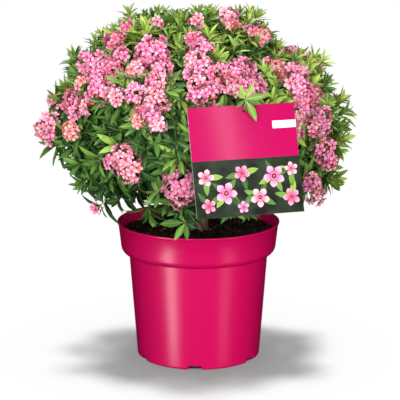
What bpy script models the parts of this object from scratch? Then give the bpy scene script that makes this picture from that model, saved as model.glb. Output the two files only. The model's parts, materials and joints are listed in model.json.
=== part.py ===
"""A dwarf rhododendron in flower, in a round nursery pot, with a card label hung on one of its twigs.

Metres, +Z up. The origin is the centre of the pot's flat underside, and -Y is the front.
A short trunk forks into seven boughs and a leader. Each bough carries a low and a middle mass of foliage, and
the leader carries the three top ones. A mass is one solid: a small dense core, the stem that feeds it, and
twigs that stand out of it with whorls of leaves or a flower head on their tips.
"""

import math
import random

import bmesh
import bpy
from mathutils import Matrix, Vector

# Sizes of the pot

GAP = 0.0003
POT_HEIGHT = 0.196
RIM_RADIUS = 0.115
LIP_HEIGHT = 0.003
LIP_STEP = 0.0015
COLLAR_FOOT_RADIUS = 0.110
COLLAR_FOOT_HEIGHT = 0.162
SHOULDER_HEIGHT = 0.150
WALL_TOP_RADIUS = 0.0985
BASE_RADIUS = 0.0875
BASE_ROUND = 0.004
WALL = 0.0022
EDGE_ROUND = 0.001
POT_SEGMENTS = 48
NOTCHES = 6
NOTCH_WIDTH = 0.019
NOTCH_HEIGHT = 0.0065
NOTCH_DEPTH = 0.011
NOTCH_TURN = math.radians(-3)

# Sizes of the compost, the trunk and the boughs

SOIL_HEIGHT = 0.183
SOIL_DROP = 0.003
SOIL_BUMPS = 0.0025
SOIL_COLLAR = 1.6
SOIL_FALL = 1.4
SOIL_RING_RADIUS = 0.065
TRUNK_FOOT_RADIUS = 0.0165
TRUNK_RADIUS = 0.0125
FLARE_HEIGHTS = (0.005, 0.014)
FLARE_STEP = 0.0015
FORK_RADIUS = 0.0138
FORK_TOP_RADIUS = 0.0088
TRUNK_LEAN = math.radians(4)
FORK_HEIGHT = 0.034
FORK_SLOPE = 0.010
HALF_FLAT = math.radians(20)
ROOT_FLARE = 0.12
BOUGHS = 7
BOUGH_ROOT_RADIUS = 0.0040
BOUGH_TIP_RADIUS = 0.0031
BOUGH_SHARE = 0.43
BOUGH_ELEVATION = -6
BOUGH_WANDER = 5
BOUGH_WANDER_TURN = 2.3
BOUGH_RISE = 0.25
BOUGH_SIDES = 6
BOUGH_STEPS = 4
LEADER_DRIFT = (0.004, 0.003)
STRAIGHT_START = 0.005
BEND_PULL = 0.4

# The crown's outline: a rounded dome, each half with its own exponent, where 2 is an ellipsoid

CROWN_CENTRE = Vector((0, 0, 0.340))
CROWN_REACH = 0.234
CROWN_RISE = 0.168
CROWN_DROP = 0.156
TOP_EXPONENT = 1.8
LOW_EXPONENT = 2.0
LOBE_DIP = 0.06
LOBE_WIDTH = 0.030

# The masses: ring name, number, elevation on the dome and azimuth of the first, in degrees

MASS_RINGS = (("low", BOUGHS, -27, -64.3), ("middle", BOUGHS, 17, -38.6), ("top", 3, 58, -100))
SEED_SHARE = 0.66
CORE_SHARES = (0.53, 0.76)
CORE_MARGIN = 0.005
CORE_CLEAR = 0.012
CORE_STEP = 0.002
LARGEST_CORE = 0.046
INNER_SHARE = 0.50
CELL_CLEAR = 0.0007
POT_CLEAR = 0.003
LIMB_CLEAR = 0.003
STEM_RADIUS = 0.0013
STEM_SIDES = 5
STEM_STEPS = 3

# Leaves, twigs and flower heads

LEAF_LENGTH = 0.046
LEAF_WIDTH = 0.0165
LEAF_THICKNESS = 0.0016
LEAF_KEEL = 0.07
LEAF_DROOP = 0.12
LEAF_SAMPLES = (0.2, 0.4, 0.6, 0.8)
TWIG_RADIUS = 0.0017
TWIG_FLARE = 1.2
TWIG_SAMPLES = (0.45, 0.6, 0.75, 0.9, 1.0)
SHOOT_SPACING = 0.062
SHOOT_LOWEST = -64
DOME_SWELL = 1.24
GOLDEN_ANGLE = 137.508
TIP_SHARE = 0.86
HEAD_COVER = 1.12
LIGHT_PULL = 0.35
ROOT_SPREAD = 0.55
ROOT_DEPTH = 0.4
LEAVES_ON_SHOOT = 5
FEWEST_LEAVES = 2
LEAF_LEAN = 60
LEAN_SPREAD = 12
TURN_SPREAD = 0.15
LENGTH_SPREAD = (0.88, 1.08)
UPPER_RISE = 14
FITTING_SIZES = (1, 0.82, 0.66)
FITTING_LEANS = (0, 16, -16, 32)
LARGE_HEAD = 0.0235
LARGE_HEAD_SIDES = 7
LARGE_HEAD_RINGS = (40, 78, 118)
SMALL_HEAD = 0.0175
SMALL_HEAD_SIDES = 6
SMALL_HEAD_RINGS = (50, 104)
HEAD_KNOBS = (0.90, 1.0)
HEAD_TOP = 0.97
HEAD_HEART = 0.9
HEAD_CLEAR = 0.0016
SEED = 11

# Where the flower heads sit on the front half: elevation, then the azimuths from the front, in degrees

LARGE_HEADS = {
    39: (-21, 38),
    34: (-46, 20),
    25: (-40, -22, 25),
    21: (49,),
    13: (-58,),
    5: (56,),
    -1: (-62,),
    -9: (-28,),
    -13: (60,),
    -21: (-7,),
    -27: (50,),
}
SMALL_HEADS = {
    60: (34,),
    53: (-38, 2),
    47: (-42, 42),
    42: (0,),
    32: (1, 46),
    22: (6,),
    16: (-19, 44),
    10: (52,),
    0: (-9,),
    -32: (-42,),
}
BACK_TURN = 173
SPREAD_ROUNDS = 20
FUSED_SPACING = 0.74

# The card label

CARD_WIDTH = 0.142
CARD_HEIGHT = 0.1405
CARD_THICKNESS = 0.0009
CARD_HOLE_RADIUS = 0.0028
CARD_HOLE_DROP = 0.0065
CARD_HOLE_SIDE = 0.004
CARD_HANG = Vector((0.0584, -0.228, 0.3923))
CARD_LEAN = math.radians(18)
CARD_YAW = math.radians(16)
CARD_ROLL = math.radians(0.5)
CARD_CLEAR = 0.002
CARD_PUSH = 0.002
CARD_HOLE_SIDES = 12
CARD_HOLE_FIT = 0.96
HANGER_RADIUS = 0.0013
HANGER_REACH = 0.007
HANGER_STRAIGHT = 0.012
HANGER_ROOT = 0.003
HANGER_LEAVES = ((28, 0.2, 0.75), (95, 0.3, 0.8), (168, 0.25, 0.55), (236, 0.25, 0.75), (305, 0.3, 0.8))


# Materials


def make_material(name, colour, roughness):
    material = bpy.data.materials.new(name)
    material.use_nodes = True
    shader = material.node_tree.nodes["Principled BSDF"]
    shader.inputs["Base Color"].default_value = (*colour, 1)
    shader.inputs["Roughness"].default_value = roughness
    material.diffuse_color = (*colour, 1)
    return material


def make_materials():
    return {
        "pot": make_material("magenta_plastic", (0.62, 0.004, 0.115), 0.34),
        "compost": make_material("peat_compost", (0.022, 0.013, 0.009), 0.95),
        "bark": make_material("woody_bark", (0.13, 0.075, 0.045), 0.85),
        "leaf": make_material("leaf_green", (0.085, 0.20, 0.018), 0.45),
        "petal": make_material("petal_pink", (0.80, 0.16, 0.34), 0.55),
        "card": make_material("card_magenta", (0.70, 0.003, 0.14), 0.30),
    }


# Objects and simple shapes


def clear_scene():
    for thing in list(bpy.data.objects):
        bpy.data.objects.remove(thing)


def object_from(shape, name, materials, origin=Vector((0, 0, 0)), parent=None):
    """The bmesh as a named object whose own origin is at that point. The bmesh is used up."""
    bmesh.ops.recalc_face_normals(shape, faces=shape.faces)
    if shape.calc_volume(signed=True) < 0:
        bmesh.ops.reverse_faces(shape, faces=shape.faces)
    bmesh.ops.translate(shape, verts=shape.verts, vec=-origin)
    mesh = bpy.data.meshes.new(name)
    shape.to_mesh(mesh)
    shape.free()
    for material in materials:
        mesh.materials.append(material)
    thing = bpy.data.objects.new(name, mesh)
    thing.location = origin
    thing.parent = parent
    bpy.context.scene.collection.objects.link(thing)
    return thing


def shade_round(thing, sharp_degrees=35):
    thing.data.shade_smooth()
    thing.data.set_sharp_from_angle(angle=math.radians(sharp_degrees))


def turned(profile):
    """A profile of (radius, height) points that starts and ends on the Z axis, spun into a closed body."""
    shape = bmesh.new()
    points = [shape.verts.new((radius, 0, height)) for radius, height in profile]
    edges = [shape.edges.new(pair) for pair in zip(points, points[1:])]
    bmesh.ops.spin(
        shape,
        geom=points + edges,
        axis=(0, 0, 1),
        cent=(0, 0, 0),
        angle=math.tau,
        steps=POT_SEGMENTS,
        use_merge=True,
    )
    bmesh.ops.remove_doubles(shape, verts=shape.verts, dist=1e-6)
    return shape


def crosswise(direction, towards=Vector((0, 0, 1))):
    """A unit vector square to the direction, as near as can be to the second one."""
    across = towards - direction * towards.dot(direction)
    if across.length < 1e-4:
        across = Vector((1, 0, 0)) - direction * direction.x
    return across.normalized()


def add_limb(shape, points, radii, sides):
    """A tapering round limb along the points, with flat ends square to it."""
    rings = []
    across = crosswise((points[1] - points[0]).normalized())
    for step, (point, radius) in enumerate(zip(points, radii)):
        ahead = points[min(step + 1, len(points) - 1)] - points[max(step - 1, 0)]
        ahead.normalize()
        across = crosswise(ahead, across)
        third = ahead.cross(across)
        ring = []
        for k in range(sides):
            turn = math.tau * k / sides
            out = (across * math.cos(turn) + third * math.sin(turn)) * radius
            ring.append(shape.verts.new(point + out))
        rings.append(ring)
    for near, far in zip(rings, rings[1:]):
        for k in range(sides):
            shape.faces.new((near[k], near[k - 1], far[k - 1], far[k]))
    shape.faces.new(rings[0])
    shape.faces.new(reversed(rings[-1]))


def bent_path(root, start_direction, end, end_direction, steps):
    """Points of a smooth bend that leaves and arrives in the given directions, after a straight start."""
    start = root + start_direction * STRAIGHT_START
    pull = (end - start).length * BEND_PULL
    handles = (start, start + start_direction * pull, end - end_direction * pull, end)
    path = [root]
    for step in range(steps + 1):
        t = step / steps
        weights = ((1 - t) ** 3, 3 * t * (1 - t) ** 2, 3 * t * t * (1 - t), t**3)
        path.append(sum((handle * weight for handle, weight in zip(handles, weights)), Vector((0, 0, 0))))
    return path


# The crown's outline and the space of each mass


def crown_direction(azimuth, elevation):
    """Azimuth in degrees from the front, to the right; elevation in degrees above the crown's middle."""
    a, e = math.radians(azimuth), math.radians(elevation)
    return Vector((math.cos(e) * math.sin(a), -math.cos(e) * math.cos(a), math.sin(e)))


def crown_share(point):
    """How far out a point lies: 0 at the crown's centre and 1 on its outline."""
    offset = point - CROWN_CENTRE
    sideways = math.hypot(offset.x, offset.y) / CROWN_REACH
    upright = abs(offset.z) / (CROWN_RISE if offset.z > 0 else CROWN_DROP)
    exponent = TOP_EXPONENT if offset.z > 0 else LOW_EXPONENT
    return (sideways**exponent + upright**exponent) ** (1 / exponent)


def crown_point(azimuth, elevation, share=1.0):
    unit = crown_direction(azimuth, elevation)
    upright = CROWN_RISE if unit.z > 0 else CROWN_DROP
    offset = Vector((unit.x * CROWN_REACH, unit.y * CROWN_REACH, unit.z * upright))
    return CROWN_CENTRE + offset * (share / crown_share(CROWN_CENTRE + offset))


def make_masses():
    """The name, middle and ring place of each mass."""
    masses = []
    for ring, count, elevation, first in MASS_RINGS:
        for place in range(count):
            azimuth = first + 360 * place / count
            middle = crown_point(azimuth, elevation, SEED_SHARE)
            masses.append(
                {
                    "name": f"foliage_{ring}_{place + 1}",
                    "ring": ring,
                    "place": place,
                    "azimuth": azimuth,
                    "middle": middle,
                }
            )
    return masses


def border_distance(mass, masses, point):
    """How far inside its mass's space the point lies, from the nearest plane halfway to a neighbour."""
    nearest = math.inf
    for other in masses:
        if other is not mass:
            between = mass["middle"] - other["middle"]
            halfway = (mass["middle"] + other["middle"]) / 2
            nearest = min(nearest, (point - halfway).dot(between.normalized()))
    return nearest


def nearest_mass(masses, point):
    return min(masses, key=lambda mass: (mass["middle"] - point).length)


def outline_share(mass, masses, point):
    """The outline's share over the point: 1, or a little less near a border, so each mass is a lobe."""
    inside = max(0.0, min(1.0, border_distance(mass, masses, point) / LOBE_WIDTH))
    return 1 - LOBE_DIP * (1 - inside) ** 2


def clear_of_pot(point, margin):
    """True above the compost, and outside the rim."""
    radius = math.hypot(point.x, point.y)
    if radius > RIM_RADIUS + margin:
        return True
    return point.z > POT_HEIGHT + margin


# The card's own frame: its X runs along the card, its Y out of the card's back and its Z up it

CARD_FRAME = (
    Matrix.Translation(CARD_HANG)
    @ Matrix.Rotation(CARD_YAW, 4, "Z")
    @ Matrix.Rotation(-CARD_ROLL, 4, "Y")
    @ Matrix.Rotation(-CARD_LEAN, 4, "X")
)
CARD_LEFT = -CARD_WIDTH / 2 - CARD_HOLE_SIDE
CARD_BOTTOM = CARD_HOLE_DROP - CARD_HEIGHT


def behind_card(point):
    """The distance behind the card's back, or None where the card isn't in front of the point."""
    local = CARD_FRAME.inverted() @ point
    beside = max(CARD_LEFT - local.x, local.x - CARD_LEFT - CARD_WIDTH)
    past = max(CARD_BOTTOM - local.z, local.z - CARD_HOLE_DROP)
    if max(beside, past) > CARD_CLEAR:
        return None
    return local.y - CARD_THICKNESS


def clear_of_card(point, margin=CARD_CLEAR):
    behind = behind_card(point)
    return behind is None or behind > margin


# Flower heads


def place_heads(masses):
    """Every flower head on the crown, front and back, moved apart where two masses would share one."""
    heads = []
    for table, radius in ((LARGE_HEADS, LARGE_HEAD), (SMALL_HEADS, SMALL_HEAD)):
        for elevation, azimuths in table.items():
            for azimuth in azimuths:
                for turn in (0, BACK_TURN):
                    share = 1 - radius / CROWN_REACH
                    heads.append({"centre": crown_point(azimuth + turn, elevation, share), "radius": radius})
    for _ in range(SPREAD_ROUNDS):
        for head in heads:
            for other in heads:
                if other is not head:
                    part_heads(masses, head, other)
            clear_head_of_card(head)
    for head in heads:
        head["mass"] = nearest_mass(masses, head["centre"])["name"]
    return heads


def part_heads(masses, head, other):
    apart = head["centre"] - other["centre"]
    both = head["radius"] + other["radius"]
    fused = nearest_mass(masses, head["centre"]) is nearest_mass(masses, other["centre"])
    wanted = both * FUSED_SPACING if fused else both + HEAD_CLEAR
    if apart.length < wanted:
        head["centre"] += apart.normalized() * (wanted - apart.length) / 2
        head["centre"] = sink_into_crown(head["centre"], head["radius"])


def sink_into_crown(centre, radius):
    """The centre moved straight in or out, so that the head just reaches the outline."""
    share = crown_share(centre)
    wanted = 1 - radius / CROWN_REACH
    return CROWN_CENTRE + (centre - CROWN_CENTRE) * (wanted / share)


def clear_head_of_card(head):
    """A head beside or behind the card is pushed back until it's clear of it."""
    for direction in ((0, 0), (1, 0), (-1, 0), (0, 1), (0, -1)):
        edge = head["centre"] + Vector((direction[0], 0, direction[1])) * head["radius"]
        behind = behind_card(edge)
        if behind is not None and behind < head["radius"] + CARD_CLEAR:
            head["centre"] += (CARD_FRAME.to_3x3() @ Vector((0, 1, 0))) * CARD_PUSH


def add_head(shape, root, centre, radius, generator):
    """A knobbly dome of florets that all spring from one root, as rings of corners round its axis."""
    axis = (centre - root).normalized()
    across = crosswise(axis)
    third = axis.cross(across)
    sides, polars = SMALL_HEAD_SIDES, SMALL_HEAD_RINGS
    if radius == LARGE_HEAD:
        sides, polars = LARGE_HEAD_SIDES, LARGE_HEAD_RINGS
    rings = []
    for ring, degrees in enumerate(polars):
        polar = math.radians(degrees)
        corners = []
        for k in range(sides):
            turn = math.tau * (k + 0.5 * (ring % 2)) / sides
            out = radius * generator.uniform(*HEAD_KNOBS)
            sideways = (across * math.cos(turn) + third * math.sin(turn)) * math.sin(polar)
            corners.append(shape.verts.new(centre + (sideways + axis * math.cos(polar)) * out))
        rings.append(corners)
    top = shape.verts.new(centre + axis * radius * HEAD_TOP)
    bottom = shape.verts.new(root)
    for k in range(sides):
        shape.faces.new((top, rings[0][k - 1], rings[0][k]))
        shape.faces.new((bottom, rings[-1][k], rings[-1][k - 1]))
        for ring, (near, far) in enumerate(zip(rings, rings[1:])):
            shift = k - 1 if ring % 2 == 0 else k
            shape.faces.new((near[k - 1], far[shift], near[k]))
            shape.faces.new((near[k], far[shift], far[(shift + 1) % sides]))
    for face in shape.faces:
        face.material_index = 1


# Leaves and twigs


def leaf_corners(root, direction, upward, length):
    """Tip, near edge and far edge, in the whorl's turning order, of a keeled leaf that droops to its tip."""
    side = direction.cross(upward).normalized()
    half = LEAF_WIDTH * length / LEAF_LENGTH / 2
    middle = root + direction * length * 0.5 + upward * length * LEAF_KEEL
    tip = root + direction * length - upward * length * LEAF_DROOP
    return [tip, middle + side * half, middle - side * half]


def add_whorl(shape, root, tip, axis, places):
    """A three-sided twig with a whorl at its end: each place round the tip has a turn and a leaf, or None.

    The whole is one closed skin. Round the tip runs a ring with a corner under each place and one between
    neighbours, and each leaf is drawn out between three of them and the point on top.
    """
    across = crosswise(axis)

    def ring_corner(turn, radius, centre, ahead=axis):
        start = crosswise(ahead, across)
        out = (start * math.cos(turn) + ahead.cross(start) * math.sin(turn)) * radius
        return shape.verts.new(centre + out)

    top = shape.verts.new(tip + axis * LEAF_THICKNESS)
    under, between = [], []
    for k, (turn, _) in enumerate(places):
        after = places[(k + 1) % len(places)][0]
        after += math.tau if after < turn else 0
        under.append(ring_corner(turn, TWIG_RADIUS, tip - axis * LEAF_THICKNESS))
        between.append(ring_corner((turn + after) / 2, TWIG_RADIUS, tip))
    for k, (_, leaf) in enumerate(places):
        before, below, past = between[k - 1], under[k], between[k]
        if leaf:
            end, near, far = (shape.verts.new(corner) for corner in leaf)
            outline = (before, near, end, far, past)
        else:
            outline = (before, below, past)
        for a, b in zip(outline, outline[1:]):
            shape.faces.new((top, a, b))
            if leaf:
                shape.faces.new((below, b, a))
    ring = [corner for pair in zip(under, between) for corner in pair]
    along = (tip - root).normalized()
    thirds = [places[0][0] + math.tau * (k + 0.5) / 3 for k in range(3)]
    foot = [ring_corner(turn, TWIG_RADIUS * TWIG_FLARE, root, along) for turn in thirds]
    per_side = len(ring) / 3
    for k in range(len(ring)):
        near = int(k / per_side)
        shape.faces.new((ring[k], ring[(k + 1) % len(ring)], foot[near]))
        if int((k + 1) / per_side) != near:
            shape.faces.new((ring[(k + 1) % len(ring)], foot[(near + 1) % 3], foot[near]))
    shape.faces.new(foot)


def whorl_leaf(tip, axis, turn, lean, length):
    """A leaf that leaves the twig's tip at a turn round its axis and a lean away from it."""
    across = crosswise(axis)
    outward = across * math.cos(turn) + axis.cross(across) * math.sin(turn)
    direction = (axis * math.cos(lean) + outward * math.sin(lean)).normalized()
    return leaf_corners(tip, direction, crosswise(direction, axis), length)


def samples_of(root, corners):
    """Points of a leaf that are tested for room: its corners, and steps along its midrib."""
    tip, near, far = corners
    along = [root.lerp(tip, t) for t in LEAF_SAMPLES]
    return corners + along + [a.lerp(b, 0.5) for a in (root, tip) for b in (near, far)]


def clear_of_limbs(point, mass, limbs, margin):
    """True off every bough, and off the stems that feed other masses."""
    for limb in limbs:
        if limb["feeds"] == mass["name"]:
            continue
        for start, end in zip(limb["path"], limb["path"][1:]):
            along = max(0.0, min(1.0, (point - start).dot(end - start) / (end - start).length_squared))
            if (point - start.lerp(end, along)).length < limb["radius"] + margin:
                return False
    return True


def clear_of_heads(point, mass, heads, margin):
    """True off the flower heads of other masses."""
    others = (head for head in heads if head["mass"] != mass["name"])
    return all((point - head["centre"]).length > head["radius"] + margin for head in others)


def has_room(points, mass, crown):
    """True if every point keeps to the mass's own space, inside the outline and off its neighbours."""
    for point in points:
        if border_distance(mass, crown["masses"], point) < CELL_CLEAR:
            return False
        if not INNER_SHARE < crown_share(point) < outline_share(mass, crown["masses"], point):
            return False
        if not clear_of_pot(point, POT_CLEAR) or not clear_of_card(point):
            return False
        if not clear_of_heads(point, mass, crown["heads"], HEAD_CLEAR):
            return False
        if not clear_of_limbs(point, mass, crown["limbs"], LIMB_CLEAR):
            return False
    return True


def inside_own_head(points, heads):
    for head in heads:
        heart = head["radius"] * HEAD_HEART
        if any((point - head["centre"]).length < heart for point in points):
            return True
    return False


# One mass of foliage


def core_reach(mass, crown, direction):
    """How far the core reaches from its middle in a direction before it leaves the mass's inner space."""
    reach = CORE_STEP
    while reach < LARGEST_CORE:
        point = mass["middle"] + direction * (reach + CORE_STEP)
        roomy = (
            border_distance(mass, crown["masses"], point) > CORE_MARGIN
            and CORE_SHARES[0] < crown_share(point) < CORE_SHARES[1]
            and clear_of_pot(point, CORE_CLEAR)
            and clear_of_card(point, CORE_CLEAR)
            and clear_of_heads(point, mass, crown["heads"], 2 * HEAD_CLEAR)
            and clear_of_limbs(point, mass, crown["limbs"], CORE_MARGIN)
        )
        if not roomy:
            break
        reach += CORE_STEP
    return reach


def make_core(mass, crown):
    shape = bmesh.new()
    bmesh.ops.create_icosphere(shape, subdivisions=1, radius=1)
    for corner in shape.verts:
        direction = corner.co.normalized()
        corner.co = mass["middle"] + direction * core_reach(mass, crown, direction)
    return shape


def twig_root(mass, crown, tip):
    """Where a twig leaves the wood inside the core: below its own tip, drawn towards the mass's middle."""
    below = CROWN_CENTRE + (tip - CROWN_CENTRE) * (SEED_SHARE / crown_share(tip))
    wanted = (below - mass["middle"]) * ROOT_SPREAD
    direction = wanted.normalized()
    return mass["middle"] + direction * min(wanted.length, core_reach(mass, crown, direction) * ROOT_DEPTH)


def shoot_axis(tip):
    """Twigs grow outwards and turn up to the light."""
    outward = tip - CROWN_CENTRE
    outward.z *= (CROWN_REACH / CROWN_RISE) ** 2
    return (outward.normalized() + Vector((0, 0, LIGHT_PULL))).normalized()


def shoot_tips(heads):
    """Twig tips spread evenly over the crown by a spiral, leaving out those that a flower head covers."""
    bottom = math.sin(math.radians(SHOOT_LOWEST))
    area = math.tau * CROWN_REACH * (CROWN_RISE + CROWN_DROP) / 2 * (1 - bottom) * DOME_SWELL
    count = round(area / SHOOT_SPACING**2)
    tips = []
    for k in range(count):
        height = 1 - (1 - bottom) * (k + 0.5) / count
        elevation = math.degrees(math.asin(height))
        tip = crown_point(k * GOLDEN_ANGLE, elevation, TIP_SHARE)
        if all((tip - head["centre"]).length > head["radius"] * HEAD_COVER for head in heads):
            tips.append(tip)
    return tips


def stem_paths(masses, forks):
    """The path of each mass's stem, from the end of its bough to the middle of its core."""
    paths = {}
    for mass in masses:
        fork = forks["leader" if mass["ring"] == "top" else mass["place"]]
        if mass["ring"] == "top":
            aside = crosswise(fork["direction"], mass["middle"] - fork["end"])
        else:
            aside = crosswise(fork["direction"], Vector((0, 0, 1)))
            if mass["ring"] == "low":
                aside = -aside
        root = fork["end"] + fork["direction"] * GAP + aside * (STEM_RADIUS + 2 * GAP)
        final = (mass["middle"] - root).normalized()
        path = bent_path(root, fork["direction"], mass["middle"], final, STEM_STEPS)
        paths[mass["name"]] = (path, [STEM_RADIUS] * len(path))
    return paths


def leafy_shoot(mass, crown, tip, generator):
    """A twig with its whorl, without the leaves that have no room, or None."""
    own = [head for head in crown["heads"] if head["mass"] == mass["name"]]
    root = twig_root(mass, crown, tip)
    axis = ((tip - root).normalized() + shoot_axis(tip)).normalized()
    if not has_room([root.lerp(tip, t) for t in TWIG_SAMPLES], mass, crown):
        return None
    places = []
    first = generator.uniform(0, math.tau / LEAVES_ON_SHOOT)
    for k in range(LEAVES_ON_SHOOT):
        turn = first + math.tau * k / LEAVES_ON_SHOOT + generator.uniform(-TURN_SPREAD, TURN_SPREAD)
        lean = LEAF_LEAN + generator.uniform(-LEAN_SPREAD, LEAN_SPREAD) - UPPER_RISE * (k % 2)
        lean = math.radians(lean)
        length = LEAF_LENGTH * generator.uniform(*LENGTH_SPREAD)
        places.append((turn, fitting_leaf(mass, crown, own, (tip, axis, turn, lean, length))))
    if sum(1 for _, leaf in places if leaf) < FEWEST_LEAVES:
        return None
    return root, tip, axis, places


def fitting_leaf(mass, crown, own, wanted):
    """The wanted leaf, or one a little shorter, more upright or lower that has room, or None."""
    tip, axis, turn, lean, length = wanted
    for size in FITTING_SIZES:
        for change in FITTING_LEANS:
            corners = whorl_leaf(tip, axis, turn, lean + math.radians(change), length * size)
            points = samples_of(tip, corners)
            if has_room(points, mass, crown) and not inside_own_head(points, own):
                return corners
    return None


def add_to(collection, shape, materials):
    """One closed shape as an object of the collection that's to be fused."""
    thing = object_from(shape, "fused_piece", materials)
    bpy.context.scene.collection.objects.unlink(thing)
    collection.objects.link(thing)


def largest_shell(mesh):
    """Keeps the body itself and drops loose scraps and the shells of sealed hollows."""
    shape = bmesh.new()
    shape.from_mesh(mesh)
    left = set(shape.verts)
    shells = []
    while left:
        shell, edge = set(), [left.pop()]
        while edge:
            corner = edge.pop()
            shell.add(corner)
            linked = {e.other_vert(corner) for e in corner.link_edges}
            edge.extend(linked & left)
            left -= linked
        shells.append(shell)
    largest = max(shells, key=len)
    loose = [corner for corner in shape.verts if corner not in largest]
    bmesh.ops.delete(shape, geom=loose, context="VERTS")
    bmesh.ops.triangulate(shape, faces=shape.faces)
    shape.to_mesh(mesh)
    shape.free()


def fuse(body, collection):
    """Joins the collection's shapes to the body by one Boolean union, applied, and removes them."""
    union = body.modifiers.new("union", "BOOLEAN")
    union.operation = "UNION"
    union.operand_type = "COLLECTION"
    union.collection = collection
    union.solver = "MANIFOLD"
    graph = bpy.context.evaluated_depsgraph_get()
    fused = bpy.data.meshes.new_from_object(body.evaluated_get(graph))
    body.modifiers.clear()
    body.data = fused
    largest_shell(fused)
    for piece in list(collection.objects):
        bpy.data.objects.remove(piece)
    bpy.data.collections.remove(collection)


def make_mass(mass, crown, tips, stem, hanger, materials, parent):
    generator = random.Random(f"{SEED}-{mass['name']}")
    surface = [materials["leaf"], materials["petal"]]
    body = object_from(make_core(mass, crown), mass["name"], surface)
    collection = bpy.data.collections.new("to_fuse")
    bpy.context.scene.collection.children.link(collection)
    own_tips = [tip for tip in tips if nearest_mass(crown["masses"], tip) is mass]
    shoots = [leafy_shoot(mass, crown, tip, generator) for tip in own_tips]
    if hanger["mass"] == mass["name"]:
        shoots.append(hanger["shoot"])
    shoots = [shoot for shoot in shoots if shoot]
    for shoot in shoots:
        shape = bmesh.new()
        add_whorl(shape, *shoot)
        add_to(collection, shape, surface)
    for head in crown["heads"]:
        if head["mass"] == mass["name"]:
            shape = bmesh.new()
            root = twig_root(mass, crown, head["centre"])
            add_head(shape, root, head["centre"], head["radius"], generator)
            add_to(collection, shape, surface)
    limbs = [stem]
    if hanger["mass"] == mass["name"]:
        limbs.append(hanger["twig"])
    for path, radii in limbs:
        shape = bmesh.new()
        add_limb(shape, path, radii, STEM_SIDES)
        add_to(collection, shape, surface)
    fuse(body, collection)
    body.data.transform(Matrix.Translation(-mass["middle"]))
    body.location = mass["middle"]
    body.parent = parent
    return sum(1 for shoot in shoots for _, leaf in shoot[3] if leaf)


# Pot, compost, trunk and boughs


def pot_profile():
    """The pot's outside and inside, from the middle of the underside up and over the rim to the floor."""
    outside = [(0, 0), (BASE_RADIUS - BASE_ROUND, 0), (BASE_RADIUS, BASE_ROUND)]
    outside.append((WALL_TOP_RADIUS, SHOULDER_HEIGHT))
    swell = COLLAR_FOOT_RADIUS - WALL_TOP_RADIUS
    rise = COLLAR_FOOT_HEIGHT - SHOULDER_HEIGHT
    for degrees in (45, 90):
        a = math.radians(degrees)
        outside.append((WALL_TOP_RADIUS + swell * math.sin(a), COLLAR_FOOT_HEIGHT - rise * math.cos(a)))
    lip = POT_HEIGHT - LIP_HEIGHT
    outside += [(RIM_RADIUS - LIP_STEP, lip - EDGE_ROUND), (RIM_RADIUS, lip)]
    outside += [(RIM_RADIUS, POT_HEIGHT - EDGE_ROUND), (RIM_RADIUS - EDGE_ROUND, POT_HEIGHT)]
    outside.append((RIM_RADIUS - WALL - EDGE_ROUND / 2, POT_HEIGHT))
    return outside + list(reversed(inner_profile(0)))


def inner_profile(gap):
    """The pot's inside from the middle of the floor to just under the rim, moved in by a gap."""
    return [
        (0, WALL + gap),
        (BASE_RADIUS - WALL - gap, WALL + gap),
        (WALL_TOP_RADIUS - WALL - gap, SHOULDER_HEIGHT + WALL),
        (COLLAR_FOOT_RADIUS - WALL - gap, COLLAR_FOOT_HEIGHT),
        (RIM_RADIUS - LIP_STEP - WALL - gap, POT_HEIGHT - LIP_HEIGHT),
    ]


def make_notch_cutter(parent):
    """Six blocks round the foot, each cutting a drain slot through the wall and the edge of the floor."""
    shape = bmesh.new()
    outward = Matrix.Translation((0, NOTCH_DEPTH / 2 - BASE_ROUND / 2 - BASE_RADIUS, 0))
    size = Matrix.Diagonal((NOTCH_WIDTH, NOTCH_DEPTH + BASE_ROUND, 2 * NOTCH_HEIGHT, 1))
    for k in range(NOTCHES):
        turn = Matrix.Rotation(NOTCH_TURN + math.tau * k / NOTCHES, 4, "Z")
        bmesh.ops.create_cube(shape, size=1, matrix=turn @ outward @ size)
    cutter = object_from(shape, "drain_slot_cutter", [], parent=parent)
    cutter.hide_render = True
    cutter.display_type = "WIRE"
    return cutter


def make_pot(materials, parent):
    pot = object_from(turned(pot_profile()), "pot", [materials["pot"]], parent=parent)
    shade_round(pot)
    slots = pot.modifiers.new("drain_slots", "BOOLEAN")
    slots.operation = "DIFFERENCE"
    slots.object = make_notch_cutter(parent)
    slots.solver = "EXACT"


def soil_height(radius):
    """The compost is level round the trunk and sinks a little to the wall."""
    fall = max(0.0, radius - TRUNK_FOOT_RADIUS * SOIL_COLLAR) / RIM_RADIUS
    return SOIL_HEIGHT - SOIL_DROP * min(1.0, fall * SOIL_FALL)


def make_compost(materials, parent):
    wall = inner_profile(GAP)
    (foot_radius, foot_height), (lip_radius, lip_height) = wall[3:]
    edge_share = (SOIL_HEIGHT - SOIL_DROP - foot_height) / (lip_height - foot_height)
    edge_radius = foot_radius + (lip_radius - foot_radius) * edge_share
    profile = wall[:4] + [(edge_radius, SOIL_HEIGHT - SOIL_DROP)]
    for radius in (SOIL_RING_RADIUS, TRUNK_FOOT_RADIUS * 1.5, 0):
        profile.append((radius, soil_height(radius)))
    shape = turned(profile)
    generator = random.Random(SEED)
    for corner in shape.verts:
        on_top = corner.co.z > SOIL_HEIGHT - 2 * SOIL_DROP
        radius = math.hypot(corner.co.x, corner.co.y)
        if on_top and TRUNK_FOOT_RADIUS * SOIL_COLLAR < radius < edge_radius * 0.9:
            corner.co.z += generator.uniform(-SOIL_BUMPS, SOIL_BUMPS)
    compost = object_from(shape, "compost", [materials["compost"]], parent=parent)
    shade_round(compost, 60)


def trunk_point(height):
    """A point of the trunk's leaning centreline, at a height above the compost."""
    return Vector((height * math.tan(TRUNK_LEAN), 0, SOIL_HEIGHT + GAP + height))


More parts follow.
